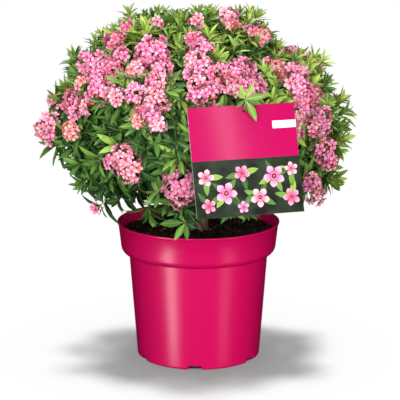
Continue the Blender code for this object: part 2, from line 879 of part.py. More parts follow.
def bough_azimuth(place):
    """Halfway between the low and the middle mass that the bough carries."""
    low, middle = MASS_RINGS[0], MASS_RINGS[1]
    return (low[3] + middle[3]) / 2 + 360 * place / BOUGHS


def make_trunk(materials, parent):
    """A stubby stem with a root flare, and a fork with a slanting flat for each bough and a level top."""
    shape = bmesh.new()
    rings = []
    low, high = FLARE_HEIGHTS
    levels = ((0, TRUNK_FOOT_RADIUS), (low, TRUNK_RADIUS + FLARE_STEP), (high, TRUNK_RADIUS))
    levels += ((FORK_HEIGHT - FORK_SLOPE, FORK_RADIUS), (FORK_HEIGHT, FORK_TOP_RADIUS))
    for level, (height, radius) in enumerate(levels):
        ring = []
        for place in range(BOUGHS):
            for side in (-1, 1):
                turn = math.radians(bough_azimuth(place)) + side * HALF_FLAT
                swell = 1 + (ROOT_FLARE * side * math.sin(3 * turn) if level == 0 else 0)
                centre = trunk_point(height)
                out = Vector((math.sin(turn), -math.cos(turn), 0)) * radius * swell
                ring.append(shape.verts.new(centre + out))
        rings.append(ring)
    count = 2 * BOUGHS
    for near, far in zip(rings, rings[1:]):
        for k in range(count):
            shape.faces.new((near[k - 1], near[k], far[k], far[k - 1]))
    shape.faces.new(reversed(rings[0]))
    shape.faces.new(rings[-1])
    trunk = object_from(shape, "trunk", [materials["bark"]], origin=trunk_point(0), parent=parent)
    shade_round(trunk, 50)


def make_boughs(materials, parent):
    """The boughs, and for each the end that its masses' stems meet."""
    forks = {}
    flat = math.cos(HALF_FLAT)
    slope = (FORK_RADIUS - FORK_TOP_RADIUS) * flat
    normal_rise = slope / math.hypot(slope, FORK_SLOPE)
    normal_out = FORK_SLOPE / math.hypot(slope, FORK_SLOPE)
    for place in range(BOUGHS):
        turn = math.radians(bough_azimuth(place))
        outward = Vector((math.sin(turn), -math.cos(turn), 0))
        direction = outward * normal_out + Vector((0, 0, normal_rise))
        flat_middle = trunk_point(FORK_HEIGHT - FORK_SLOPE / 2)
        flat_middle += outward * (FORK_RADIUS + FORK_TOP_RADIUS) / 2 * flat
        wander = BOUGH_WANDER * math.sin(BOUGH_WANDER_TURN * place)
        end = crown_point(bough_azimuth(place) + wander, BOUGH_ELEVATION + wander, BOUGH_SHARE)
        end_direction = ((end - CROWN_CENTRE).normalized() + Vector((0, 0, BOUGH_RISE))).normalized()
        path = bent_path(flat_middle + direction * GAP, direction, end, end_direction, BOUGH_STEPS)
        forks[place] = finish_bough(f"bough_{place + 1}", path, materials, parent)
    top = trunk_point(FORK_HEIGHT) + Vector((0, 0, GAP))
    end = CROWN_CENTRE + Vector((*LEADER_DRIFT, CROWN_RISE * BOUGH_SHARE))
    path = bent_path(top, Vector((0, 0, 1)), end, Vector((0, 0, 1)), BOUGH_STEPS)
    forks["leader"] = finish_bough("leader", path, materials, parent)
    return forks


def finish_bough(name, path, materials, parent):
    shape = bmesh.new()
    taper = (BOUGH_TIP_RADIUS - BOUGH_ROOT_RADIUS) / (len(path) - 1)
    add_limb(shape, path, [BOUGH_ROOT_RADIUS + taper * k for k in range(len(path))], BOUGH_SIDES)
    bough = object_from(shape, name, [materials["bark"]], origin=path[0], parent=parent)
    shade_round(bough, 60)
    return {"path": path, "end": path[-1], "direction": (path[-1] - path[-2]).normalized()}


# The card label and the twig that it hangs on


def make_card(materials, parent):
    shape = bmesh.new()
    middle = Vector((CARD_LEFT + CARD_WIDTH / 2, CARD_THICKNESS / 2, CARD_BOTTOM + CARD_HEIGHT / 2))
    size = Matrix.Diagonal((CARD_WIDTH, CARD_THICKNESS, CARD_HEIGHT, 1))
    bmesh.ops.create_cube(shape, size=1, matrix=Matrix.Translation(middle) @ size)
    card = object_from(shape, "label_card", [materials["card"]], parent=parent)
    card.matrix_basis = CARD_FRAME
    shape = bmesh.new()
    across = Matrix.Rotation(math.pi / 2, 4, "X")
    bmesh.ops.create_cone(
        shape,
        cap_ends=True,
        segments=CARD_HOLE_SIDES,
        radius1=CARD_HOLE_RADIUS,
        radius2=CARD_HOLE_RADIUS,
        depth=CARD_THICKNESS * 6,
        matrix=across,
    )
    cutter = object_from(shape, "card_hole_cutter", [], parent=card)
    cutter.hide_render = True
    cutter.display_type = "WIRE"
    hole = card.modifiers.new("hanging_hole", "BOOLEAN")
    hole.operation = "DIFFERENCE"
    hole.object = cutter
    hole.solver = "EXACT"


def make_hanger(masses):
    """The twig that the card hangs on: it comes forward through the hole and ends in a whorl."""
    turn = CARD_FRAME.to_3x3()
    forward = turn @ Vector((0, -1, 0))
    up = turn @ Vector((0, 0, 1))
    in_hole = CARD_HANG + up * (CARD_HOLE_RADIUS * CARD_HOLE_FIT - HANGER_RADIUS - GAP)
    tip = in_hole + forward * HANGER_REACH
    mass = nearest_mass(masses, CARD_HANG)
    across = crosswise(forward)
    third = forward.cross(across)
    places = []
    for degrees, rise, size in HANGER_LEAVES:
        a = math.radians(degrees)
        direction = (across * math.cos(a) + third * math.sin(a) + forward * rise).normalized()
        leaf = leaf_corners(tip, direction, crosswise(direction, forward), LEAF_LENGTH * size)
        places.append((a, leaf))
    path = [mass["middle"], in_hole - forward * HANGER_STRAIGHT, in_hole, tip]
    shoot = (tip - forward * HANGER_ROOT, tip, forward, places)
    return {"mass": mass["name"], "twig": (path, [HANGER_RADIUS] * len(path)), "shoot": shoot}


def main():
    clear_scene()
    materials = make_materials()
    whole = bpy.data.objects.new("potted_rhododendron", None)
    bpy.context.scene.collection.objects.link(whole)
    make_pot(materials, whole)
    make_compost(materials, whole)
    make_trunk(materials, whole)
    forks = make_boughs(materials, whole)
    make_card(materials, whole)
    masses = make_masses()
    heads = place_heads(masses)
    tips = shoot_tips(heads)
    stems = stem_paths(masses, forks)
    hanger = make_hanger(masses)
    limbs = [{"path": fork["path"], "radius": BOUGH_ROOT_RADIUS, "feeds": None} for fork in forks.values()]
    limbs += [{"path": stem[0], "radius": STEM_RADIUS, "feeds": name} for name, stem in stems.items()]
    limbs.append({"path": hanger["twig"][0], "radius": HANGER_RADIUS, "feeds": hanger["mass"]})
    crown = {"masses": masses, "heads": heads, "limbs": limbs}
    leaves = 0
    for mass in masses:
        leaves += make_mass(mass, crown, tips, stems[mass["name"]], hanger, materials, whole)
    print(f"{len(heads)} flower heads, {len(tips)} leafy twigs, {leaves} leaves")


main()
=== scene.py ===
# %% [markdown]
# # A potted dwarf rhododendron in flower
#
# The plant is a low, rounded shrub in a magenta nursery pot, with a card label hung on one of its twigs.
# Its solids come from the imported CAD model: pot, compost, trunk, boughs, and one solid for each mass of
# foliage. This lesson keeps their places and puts the living surface round them, from the wood outwards.
#
# Every length is in metres, and Z points up. The pot stands on the origin, and its front looks towards -Y.

# %% Loading the frame
import json
import math

import bmesh
import bpy
import numpy as np
from mathutils import Matrix, Vector, noise

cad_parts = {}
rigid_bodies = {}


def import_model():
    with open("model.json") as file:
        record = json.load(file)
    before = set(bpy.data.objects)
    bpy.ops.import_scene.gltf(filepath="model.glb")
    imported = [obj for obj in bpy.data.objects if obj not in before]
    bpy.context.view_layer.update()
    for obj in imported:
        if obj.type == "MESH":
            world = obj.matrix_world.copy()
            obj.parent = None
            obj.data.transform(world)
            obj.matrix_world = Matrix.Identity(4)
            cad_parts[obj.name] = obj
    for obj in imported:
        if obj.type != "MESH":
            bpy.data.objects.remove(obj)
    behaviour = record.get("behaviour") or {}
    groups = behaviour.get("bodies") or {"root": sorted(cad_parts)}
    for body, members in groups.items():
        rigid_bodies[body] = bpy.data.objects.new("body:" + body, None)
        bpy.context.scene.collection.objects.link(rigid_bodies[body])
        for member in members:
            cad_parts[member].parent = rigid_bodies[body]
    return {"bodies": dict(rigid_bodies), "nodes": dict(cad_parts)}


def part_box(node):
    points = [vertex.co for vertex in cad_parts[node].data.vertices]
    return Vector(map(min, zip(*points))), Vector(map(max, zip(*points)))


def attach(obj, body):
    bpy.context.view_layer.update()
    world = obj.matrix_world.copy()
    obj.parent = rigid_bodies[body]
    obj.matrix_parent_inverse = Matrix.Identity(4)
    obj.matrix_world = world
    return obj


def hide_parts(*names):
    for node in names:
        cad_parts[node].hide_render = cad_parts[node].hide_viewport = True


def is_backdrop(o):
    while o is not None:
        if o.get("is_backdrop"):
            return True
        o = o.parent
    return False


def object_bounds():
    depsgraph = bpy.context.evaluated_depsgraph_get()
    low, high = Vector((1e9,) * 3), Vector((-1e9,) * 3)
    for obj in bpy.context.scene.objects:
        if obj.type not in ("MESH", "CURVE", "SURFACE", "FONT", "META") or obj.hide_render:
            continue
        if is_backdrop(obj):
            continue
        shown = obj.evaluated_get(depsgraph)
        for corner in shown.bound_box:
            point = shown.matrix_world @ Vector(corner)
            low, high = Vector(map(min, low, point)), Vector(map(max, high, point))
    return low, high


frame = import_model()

cad_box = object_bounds()
BODY = next(iter(frame["bodies"]))
MASS_NAMES = sorted(name for name in frame["nodes"] if name.startswith("foliage_"))
LIMB_NAMES = sorted(name for name in frame["nodes"] if name.startswith("bough_")) + ["leader", "trunk"]
print(f"body {BODY}: {len(MASS_NAMES)} masses of foliage on {len(LIMB_NAMES)} limbs")

# %% [markdown]
# ## Camera
#
# The photograph was taken from a little above the plant, looking down by about a seventh of a right angle.
# A long lens far away keeps the pot's sides almost parallel, as they are in the picture.
# The camera comes first.

# %% Camera
CAMERA_PLACE = (0.0023, -2.44, 0.77)
CAMERA_DIP = math.radians(12.6)
SENSOR_WIDTH = 36
LENS = 158.85


def new_object(name, data):
    """A new object in the scene."""
    made = bpy.data.objects.new(name, data)
    bpy.context.scene.collection.objects.link(made)
    return made


camera = new_object("camera", bpy.data.cameras.new("camera"))
camera.data.sensor_width = SENSOR_WIDTH
camera.data.lens = LENS
camera.location = CAMERA_PLACE
camera.rotation_euler = (math.pi / 2 - CAMERA_DIP, 0, 0)
bpy.context.scene.camera = camera
print(f"camera {-CAMERA_PLACE[1]:.2f} m in front, {CAMERA_PLACE[2]:.2f} m up, {LENS:.0f} mm lens")

# %% [markdown]
# ## Materials from nodes
#
# Every surface here is a Principled shader with a few texture nodes before it. One helper makes the plain
# shader, and three small ones add what most real surfaces have: a colour or a gloss that wanders a little,
# and a fine relief. All three are noise that goes through one node into one socket of the shader. Values
# that are the same all over sit on the shader itself.

# %% Material helpers
WANDER_EDGES = (0.35, 0.65)


def set_inputs(node, **values):
    """Sets a node's inputs, whose names are written with underscores, such as Base_Color."""
    for name, value in values.items():
        node.inputs[name.replace("_", " ")].default_value = value


def noise_through(material, kind, inlet, outlet, socket, scale, detail=3, stretch=(1, 1, 1), **values):
    """Noise over the object's own coordinates, in cycles per metre, through a node into the shader."""
    nodes, links = material.node_tree.nodes, material.node_tree.links
    kinds = ("TexCoord", "Mapping", "TexNoise", kind)
    place, mapping, texture, node = (nodes.new(f"ShaderNode{each}") for each in kinds)
    set_inputs(mapping, Scale=stretch)
    set_inputs(texture, Scale=scale, Detail=detail)
    set_inputs(node, **values)
    links.new(place.outputs["Object"], mapping.inputs["Vector"])
    links.new(mapping.outputs["Vector"], texture.inputs["Vector"])
    links.new(texture.outputs["Fac"], node.inputs[inlet])
    links.new(node.outputs[outlet], nodes["Principled BSDF"].inputs[socket])
    return node


def wander_colour(material, first, second, scale, **texture):
    """The base colour wanders between two colours."""
    ramp = noise_through(material, "ValToRGB", "Fac", "Color", "Base Color", scale, **texture)
    for stop, edge, colour in zip(ramp.color_ramp.elements, WANDER_EDGES, (first, second)):
        stop.position = edge
        stop.color = (*colour, 1)


def wander_roughness(material, low, high, scale):
    """The roughness wanders between two values."""
    noise_through(material, "MapRange", "Value", "Result", "Roughness", scale, To_Min=low, To_Max=high)


def add_relief(material, scale, depth, strength, detail=3, **texture):
    """A fine relief of that depth in metres."""
    noise_through(material, "Bump", "Height", "Normal", "Normal", scale, detail,
                  Strength=strength, Distance=depth, **texture)


def new_material(name, colour, roughness, relief=None, **sockets):
    """A Principled material. The relief is its scale, depth, strength and detail."""
    material = bpy.data.materials.new(name)
    material.use_nodes = True
    shader = material.node_tree.nodes["Principled BSDF"]
    set_inputs(shader, Base_Color=(*colour, 1), Roughness=roughness, **sockets)
    material.diffuse_color = (*colour, 1)
    if relief:
        add_relief(material, *relief)
    return material


print(f"noise from {WANDER_EDGES[0]} to {WANDER_EDGES[1]} blends a surface's two colours")

# %% [markdown]
# ## Floor and light
#
# The picture has a white ground with a soft grey shadow under the crown, so its main light is overhead.
# Sun lamps with a wide disc give that: even light to the far end of the floor, and a soft edge. Gloss doesn't
# see the floor or the sky, and the floor throws no light back up, because the picture's pot shows neither.

# %% Floor
FLOOR_SIZE = 60
FLOOR_PARTS = 8
SKY_STRENGTH = 0.28


def mesh_from(shape, name):
    """A bmesh as a finished mesh."""
    mesh = bpy.data.meshes.new(name)
    shape.to_mesh(mesh)
    shape.free()
    return mesh


floor_shape = bmesh.new()
bmesh.ops.create_grid(floor_shape, x_segments=FLOOR_PARTS, y_segments=FLOOR_PARTS, size=FLOOR_SIZE / 2)
floor = new_object("floor", mesh_from(floor_shape, "floor"))
floor.data.materials.append(new_material("pale_floor", (0.88, 0.88, 0.88), 0.7, (400, 0.0002, 0.1)))
floor.visible_glossy = False
floor.visible_diffuse = False
floor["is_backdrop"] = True

world = bpy.data.worlds.new("studio")
world.use_nodes = True
set_inputs(world.node_tree.nodes["Background"], Color=(1, 1, 1, 1), Strength=SKY_STRENGTH)
bpy.context.scene.world = world
world.cycles_visibility.glossy = False
bpy.context.scene.view_settings.view_transform = "Standard"
print(f"a pale floor of {FLOOR_SIZE} m and a sky of strength {SKY_STRENGTH}")

# %% [markdown]
# ### Lights for some pieces only
#
# Blender can link a light to a collection, so that it lights only what is in it, or all but that. The floor
# can then stay white while the plant keeps its own light. A lamp can also be left out of diffuse light, so
# that it only shows in a gloss: the pale bands on the pot and the card are made in that way later.

# %% Light helpers
def collection_of(name, *pieces):
    """A collection outside the scene, for lights to be linked to."""
    made = bpy.data.collections.new(name)
    for piece in pieces:
        made.objects.link(piece)
    return made


def add_light(name, kind, power, receivers):
    """A light that only the receivers get, and that no camera sees."""
    lamp = new_object(name, bpy.data.lights.new(name, kind))
    lamp.data.energy = power
    lamp.visible_camera = False
    lamp.light_linking.receiver_collection = receivers
    return lamp


def soft_box(name, place, target, size, power, receivers):
    """A rectangular lamp that faces its target."""
    box = add_light(name, "AREA", power, receivers)
    box.data.shape = "RECTANGLE"
    box.data.size, box.data.size_y = size
    box.location = place
    box.rotation_euler = (Vector(place) - Vector(target)).to_track_quat("Z", "Y").to_euler()
    return box


def gloss_strip(name, place, target, size, power, piece):
    """A lamp that shows only in the gloss of one piece, and that nothing else blocks."""
    only = collection_of(f"{name}_only", piece)
    strip = soft_box(name, place, target, size, power, only)
    strip.visible_diffuse = False
    strip.light_linking.blocker_collection = only
    return strip


def beside(azimuth, distance, height):
    """A place round the plant: azimuth in degrees from the front to the right."""
    turn = math.radians(azimuth)
    return Vector((math.sin(turn), -math.cos(turn), 0)) * distance + Vector((0, 0, height))


print(f"45 degrees to the right is towards {tuple(round(v, 2) for v in beside(45, 1, 0))}")

# %% [markdown]
# ### Suns and soft boxes
#
# The plant and the floor get suns of their own, and the floor one more that casts no shadow, whose strength
# sets how grey the shadow looks. Three soft boxes in front fill the crown and leave out the floor.

# %% Suns and soft boxes
OVERHEAD_STRENGTH = 2.4
OVERHEAD_DISC = math.radians(24)
OVERHEAD_TILT = (math.radians(6), 0, 0)
FLOOR_STRENGTH = 2.3
FLOOR_DISC = math.radians(9)
FLOOR_TILT = (math.radians(-2.1), math.radians(-0.3), 0)
FLOOR_LIFT = 0.70
SIDES = (("left", -1), ("right", 1))
FILL_AZIMUTH = 25
FILL_DISTANCE = 1.9
FILL_SIZE = (0.9, 1.2)
FILL_HEIGHT = 0.75
FILL_TARGET = (0, 0, 0.3)
FILL_POWERS = {"left": 33, "right": 18.5}
FRONT_PLACE = (0, -1.9, 0.30)
FRONT_TARGET = (0, 0, 0.2)
FRONT_SIZE = (0.7, 0.6)
FRONT_POWER = 12.5

all_but_floor = collection_of("all_but_floor", floor)
all_but_floor.collection_objects[0].light_linking.link_state = "EXCLUDE"
floor_only = collection_of("floor_only", floor)
overhead = add_light("overhead", "SUN", OVERHEAD_STRENGTH, all_but_floor)
overhead.data.angle = OVERHEAD_DISC
overhead.rotation_euler = OVERHEAD_TILT
floor_sun = add_light("floor_sun", "SUN", FLOOR_STRENGTH, floor_only)
floor_sun.data.angle = FLOOR_DISC
floor_sun.rotation_euler = FLOOR_TILT
floor_lift = add_light("floor_lift", "SUN", FLOOR_LIFT, floor_only)
floor_lift.data.use_shadow = False
boxes = [(f"fill_{side}", beside(sign * FILL_AZIMUTH, FILL_DISTANCE, FILL_HEIGHT), FILL_TARGET, FILL_SIZE,
          FILL_POWERS[side]) for side, sign in SIDES]
boxes.append(("fill_front", FRONT_PLACE, FRONT_TARGET, FRONT_SIZE, FRONT_POWER))
for box in boxes:
    soft_box(*box, all_but_floor).visible_glossy = False
print(f"an overhead sun, two suns for the floor and {len(boxes)} soft boxes")

# %% [markdown]
# ## The pot
#
# The real pot is blow-moulded or injection-moulded plastic: a tapered wall, a collar that swells out round
# the top, and drain slots round the foot. A lathe shape is the natural way to make it, so one profile is
# spun round Z. The CAD pot has the same profile with fewer corners. This one has its arcs in full.

# %% Pot profile
GAP = 0.0003
POT_HEIGHT = 0.196
RIM_RADIUS = 0.115
RIM_EDGE = 0.001
LIP_HEIGHT = 0.003
LIP_STEP = 0.0015
COLLAR_FOOT_RADIUS = 0.110
COLLAR_FOOT_HEIGHT = 0.162
SHOULDER_HEIGHT = 0.150
WALL_TOP_RADIUS = 0.0985
BASE_RADIUS = 0.0875
BASE_ROUND = 0.004
WALL = 0.0022


def arc(centre, radii, start, end, steps=8):
    """Points of an elliptic arc in the profile's plane, angles in degrees from +radius towards +Z."""
    turns = [math.radians(start + (end - start) * k / steps) for k in range(steps + 1)]
    return [(centre[0] + radii[0] * math.cos(t), centre[1] + radii[1] * math.sin(t)) for t in turns]


def pot_profile():
    """From the middle of the underside, out and up over the rim, and down inside to the floor."""
    swell = COLLAR_FOOT_RADIUS - WALL_TOP_RADIUS
    rise = COLLAR_FOOT_HEIGHT - SHOULDER_HEIGHT
    lip = POT_HEIGHT - LIP_HEIGHT
    edge = RIM_EDGE
    outside = [(0, 0)] + arc((BASE_RADIUS - BASE_ROUND, BASE_ROUND), (BASE_ROUND, BASE_ROUND), -90, 0)
    outside += arc((WALL_TOP_RADIUS, COLLAR_FOOT_HEIGHT), (swell, rise), -90, 0)
    outside += [(RIM_RADIUS - LIP_STEP, lip - edge)]
    outside += arc((RIM_RADIUS - edge, lip + edge), (edge, edge), -60, 0, 3)
    outside += arc((RIM_RADIUS - edge, POT_HEIGHT - edge), (edge, edge), 0, 90, 4)
    inside = arc((RIM_RADIUS - WALL, POT_HEIGHT - edge), (edge / 2, edge), 90, 180, 4)
    inside += [(RIM_RADIUS - LIP_STEP - WALL, lip), (COLLAR_FOOT_RADIUS - WALL, COLLAR_FOOT_HEIGHT)]
    inside += [(WALL_TOP_RADIUS - WALL, SHOULDER_HEIGHT + WALL), (BASE_RADIUS - WALL, WALL), (0, WALL)]
    return outside + inside


print(f"a profile of {len(pot_profile())} points")

# %% [markdown]
# ### From the profile to the pot
#
# The drain slots are cut by a Boolean, and its result is kept as the mesh. The pot's magenta would tint the
# grey shadow, so diffuse rays don't see it. Its roughness wanders only a little, and stays on one side of
# the value at which the denoiser takes a surface for a mirror: islands past it would come out as specks.

# %% Pot
NOTCHES = 6
NOTCH_WIDTH = 0.019
NOTCH_HEIGHT = 0.0065
NOTCH_DEPTH = 0.011
NOTCH_TURN = math.radians(-3)
SPIN_STEPS = 180
SHARP_ANGLE = math.radians(35)


def object_of(name, mesh, materials, replaced=()):
    """A mesh as a named piece that rides on the model's one body, with the nodes it replaces hidden."""
    for material in materials:
        mesh.materials.append(material)
    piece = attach(new_object(name, mesh), BODY)
    if replaced:
        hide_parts(*replaced)
    return piece


def cut_out(piece, cutter_mesh):
    """Takes the cutter out of the piece's mesh for good."""
    cutter = new_object("cutter", cutter_mesh)
    cut = piece.modifiers.new("cut", "BOOLEAN")
    cut.operation = "DIFFERENCE"
    cut.object = cutter
    cut.solver = "EXACT"
    graph = bpy.context.evaluated_depsgraph_get()
    mesh = bpy.data.meshes.new_from_object(piece.evaluated_get(graph))
    piece.modifiers.clear()
    piece.data = mesh
    bpy.data.objects.remove(cutter)


def spun_mesh(name, profile):
    """A profile that starts and ends on the Z axis, spun into a closed mesh with its faces out."""
    shape = bmesh.new()
    points = [shape.verts.new((radius, 0, height)) for radius, height in profile]
    edges = [shape.edges.new(pair) for pair in zip(points, points[1:])]
    bmesh.ops.spin(shape, geom=points + edges, axis=(0, 0, 1), cent=(0, 0, 0), angle=math.tau,
                   steps=SPIN_STEPS, use_merge=True)
    bmesh.ops.remove_doubles(shape, verts=shape.verts, dist=1e-6)
    bmesh.ops.recalc_face_normals(shape, faces=shape.faces)
    return mesh_from(shape, name)


def notch_blocks():
    """Blocks round the foot, one for each drain slot."""
    shape = bmesh.new()
    size = Matrix.Diagonal((NOTCH_WIDTH, NOTCH_DEPTH + BASE_ROUND, 2 * NOTCH_HEIGHT, 1))
    outward = Matrix.Translation((0, NOTCH_DEPTH / 2 - BASE_ROUND / 2 - BASE_RADIUS, 0))
    for k in range(NOTCHES):
        turn = Matrix.Rotation(NOTCH_TURN + math.tau * k / NOTCHES, 4, "Z")
        bmesh.ops.create_cube(shape, size=1, matrix=turn @ outward @ size)
    return mesh_from(shape, "notch_blocks")


pot_plastic = new_material("magenta_plastic", (0.350, 0.0002, 0.053), 0.28, Specular_IOR_Level=0.34)
wander_roughness(pot_plastic, 0.276, 0.290, 60)
pot = object_of("pot_moulding", spun_mesh("pot_moulding", pot_profile()), [pot_plastic])
cut_out(pot, notch_blocks())
pot.data.shade_smooth()
pot.data.set_sharp_from_angle(angle=SHARP_ANGLE)
pot.visible_diffuse = False
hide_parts("pot")
print(f"pot: {len(pot.data.polygons)} faces, {NOTCHES} drain slots")

# %% [markdown]
# ### Two pale bands on the pot
#
# The pot's gloss shows two tall lamps as pale bands, the left one stronger. The camera looks down at a wall
# that leans out, so the wall mirrors what stands low beside it, even below the floor. The two strips go
# there. Only the pot itself can block their light, so the floor doesn't cut them off.

# %% Pot strips
STRIP_AZIMUTH = 43
STRIP_DISTANCE = 0.50
STRIP_SIZE = (0.13, 0.40)
STRIP_POWERS = {"left": 1.6, "right": 0.29}

for side, sign in SIDES:
    strip_place = beside(sign * STRIP_AZIMUTH, STRIP_DISTANCE, 0)
    gloss_strip(f"strip_{side}", strip_place, (0, 0, 0), STRIP_SIZE, STRIP_POWERS[side], pot)
print(f"strips of {STRIP_SIZE[0]} by {STRIP_SIZE[1]} m, {STRIP_DISTANCE} m from the pot's middle")

# %% [markdown]
# ## Many small things as one mesh
#
# A shrub has thousands of leaves. An object for each would be far too slow, so a small pattern mesh is
# repeated by numpy arrays: its points are turned, scaled and moved for every copy at once, and all copies
# become one mesh. Each copy can bend in its own way, because the points are worked out copy by copy.

# %% Joined copies
def units(vectors):
    """The vectors with length 1, along the last axis."""
    return vectors / np.maximum(np.linalg.norm(vectors, axis=-1, keepdims=True), 1e-12)


def joined_mesh(name, points, faces, kinds=0):
    """One mesh from points (copies, corners, 3). The kinds are the faces' material numbers."""
    copies, corners = points.shape[:2]
    sizes = np.array([len(face) for face in faces])
    pattern = np.concatenate([np.array(face) for face in faces])
    loops = (pattern[None, :] + np.arange(copies)[:, None] * corners).ravel()
    totals = np.tile(sizes, copies)
    starts = np.concatenate([[0], np.cumsum(totals)[:-1]])
    mesh = bpy.data.meshes.new(name)
    mesh.vertices.add(copies * corners)
    mesh.vertices.foreach_set("co", points.astype(np.float32).ravel())
    mesh.loops.add(len(loops))
    mesh.loops.foreach_set("vertex_index", loops.astype(np.int32))
    mesh.polygons.add(len(totals))
    mesh.polygons.foreach_set("loop_start", starts.astype(np.int32))
    mesh.polygons.foreach_set("material_index", np.broadcast_to(kinds, (copies, len(faces))).ravel())
    mesh.update(calc_edges=True)
    mesh.shade_smooth()
    return mesh


def triangle_count(piece):
    piece.data.calc_loop_triangles()
    return len(piece.data.loop_triangles)


def framed(places, across, along, up, local):
    """Local points (copies, corners, 3) set in each copy's own frame."""
    sideways = across[:, None] * local[..., 0:1]
    return places[:, None] + sideways + along[:, None] * local[..., 1:2] + up[:, None] * local[..., 2:3]


def square_to(directions, towards):
    """Unit vectors square to the directions, as near as can be to the second ones."""
    aside = towards - directions * np.sum(towards * directions, axis=-1, keepdims=True)
    spare = np.broadcast_to(np.array((1.0, 0, 0)), directions.shape)
    spare = spare - directions * directions[..., 0:1]
    weak = np.linalg.norm(aside, axis=-1, keepdims=True) < 1e-4
    return units(np.where(weak, spare, aside))


print("a step of (3, 0, 4) points along", units(np.array((3.0, 0, 4.0))))

# %% [markdown]
# ## The compost
#
# Potting compost is dark, damp peat with crumbs and a few bits of bark. A disc alone would look like felt,
# so a disc with noise in its height carries a scatter of small crumbs in three browns. The noise is a
# fractal, which is given by its fall-off, the step between its layers and their count.

# %% Compost
SOIL_HEIGHT = 0.183
SOIL_DROP = 0.003
SOIL_COLLAR = 1.6
SOIL_FALL = 1.4
SOIL_BUMPS = 0.0032
SOIL_BUMP_SCALE = 55
SOIL_FRACTAL = (0.9, 2.1, 4)
SOIL_RINGS = 26
SOIL_TURNS = 120
TRUNK_FOOT_RADIUS = 0.0165


def inner_radius(height):
    """The pot's inside radius at a height in its collar."""
    share = (height - COLLAR_FOOT_HEIGHT) / (POT_HEIGHT - LIP_HEIGHT - COLLAR_FOOT_HEIGHT)
    return COLLAR_FOOT_RADIUS - WALL - GAP + (RIM_RADIUS - LIP_STEP - COLLAR_FOOT_RADIUS) * share


def soil_top(x, y):
    """The height of the compost, with its bumps. It falls a little from the trunk to the wall."""
    fall = max(0.0, math.hypot(x, y) - TRUNK_FOOT_RADIUS * SOIL_COLLAR) / RIM_RADIUS
    bumps = noise.fractal(Vector((x, y, 0)) * SOIL_BUMP_SCALE, *SOIL_FRACTAL)
    return SOIL_HEIGHT - SOIL_DROP * min(1.0, fall * SOIL_FALL) + bumps * SOIL_BUMPS


def soil_mesh():
    shape = bmesh.new()
    turns = [math.tau * k / SOIL_TURNS for k in range(SOIL_TURNS)]

    def ring(radius, height=None):
        spots = [(radius * math.cos(t), radius * math.sin(t)) for t in turns]
        return [shape.verts.new((x, y, soil_top(x, y) if height is None else height)) for x, y in spots]

    rings = [ring(inner_radius(SOIL_HEIGHT) * k / SOIL_RINGS) for k in range(1, SOIL_RINGS + 1)]
    middle = shape.verts.new((0, 0, soil_top(0, 0)))
    rings.append(ring(COLLAR_FOOT_RADIUS - WALL - GAP, COLLAR_FOOT_HEIGHT))
    rings.append(ring(WALL_TOP_RADIUS - WALL - GAP, SHOULDER_HEIGHT + WALL))
    rings.append(ring(BASE_RADIUS - WALL - GAP, WALL + GAP))
    for near, far in zip(rings, rings[1:]):
        for k in range(SOIL_TURNS):
            shape.faces.new((near[k - 1], far[k - 1], far[k], near[k]))
    for k in range(SOIL_TURNS):
        shape.faces.new((middle, rings[0][k - 1], rings[0][k]))
    shape.faces.new(reversed(rings[-1]))
    mesh = mesh_from(shape, "compost")
    mesh.shade_smooth()
    return mesh


peat = new_material("dark_peat", (0.020, 0.012, 0.009), 0.95, (900, 0.0012, 0.9, 8))
wander_colour(peat, (0.010, 0.007, 0.006), (0.050, 0.027, 0.018), 160, detail=6)
compost = object_of("compost_surface", soil_mesh(), [peat], ["compost"])
print(f"compost: {len(compost.data.polygons)} faces")

# %% [markdown]
# A crumb is a small ball whose corners are pushed in and out, stretched in its own way. Most are tiny,
# because the random number behind the size is cubed.

# %% Crumbs
CRUMBS = 2600
CRUMB_SIZE = 0.0008
CRUMB_SPREAD = 0.0022
CRUMB_REACH = 0.97
CRUMB_STRETCHES = (0.55, 1.5)
CRUMB_LUMPS = (0.75, 1.2)
CRUMB_SHARES = (0.62, 0.28, 0.10)
CRUMB_BROWNS = (
    ("crumb_black", (0.010, 0.007, 0.006)),
    ("crumb_brown", (0.042, 0.022, 0.013)),
    ("crumb_bark", (0.115, 0.052, 0.030)),
)
SEED = 11


def ball_pattern():
    """The corners and faces of a small ball."""
    shape = bmesh.new()
    bmesh.ops.create_icosphere(shape, subdivisions=1, radius=1)
    shape.verts.index_update()
    corners = np.array([corner.co for corner in shape.verts])
    faces = [tuple(corner.index for corner in face.verts) for face in shape.faces]
    shape.free()
    return corners, faces


def crumb_mesh(generator):
    corners, faces = ball_pattern()
    radius = inner_radius(SOIL_HEIGHT) * CRUMB_REACH * np.sqrt(generator.uniform(0, 1, CRUMBS))
    turn = generator.uniform(0, math.tau, CRUMBS)
    x, y = radius * np.cos(turn), radius * np.sin(turn)
    z = np.array([soil_top(a, b) for a, b in zip(x, y)])
    size = CRUMB_SIZE + CRUMB_SPREAD * generator.uniform(0, 1, CRUMBS) ** 3
    stretch = generator.uniform(*CRUMB_STRETCHES, (CRUMBS, 1, 3)) * size[:, None, None]
    lumps = generator.uniform(*CRUMB_LUMPS, (CRUMBS, len(corners), 1))
    along = units(generator.normal(size=(CRUMBS, 3)))
    up = square_to(along, units(generator.normal(size=(CRUMBS, 3))))
    points = framed(np.stack([x, y, z], -1), np.cross(along, up), along, up, corners * lumps * stretch)
    kinds = generator.choice(3, CRUMBS, p=CRUMB_SHARES)
    return joined_mesh("compost_crumbs", points, faces, kinds[:, None])


generator = np.random.default_rng(SEED)
crumb_paints = [new_material(name, colour, 0.9, (1500, 0.0004, 0.8)) for name, colour in CRUMB_BROWNS]
object_of("compost_crumbs", crumb_mesh(generator), crumb_paints)
print(f"{CRUMBS} crumbs in {len(crumb_paints)} browns")

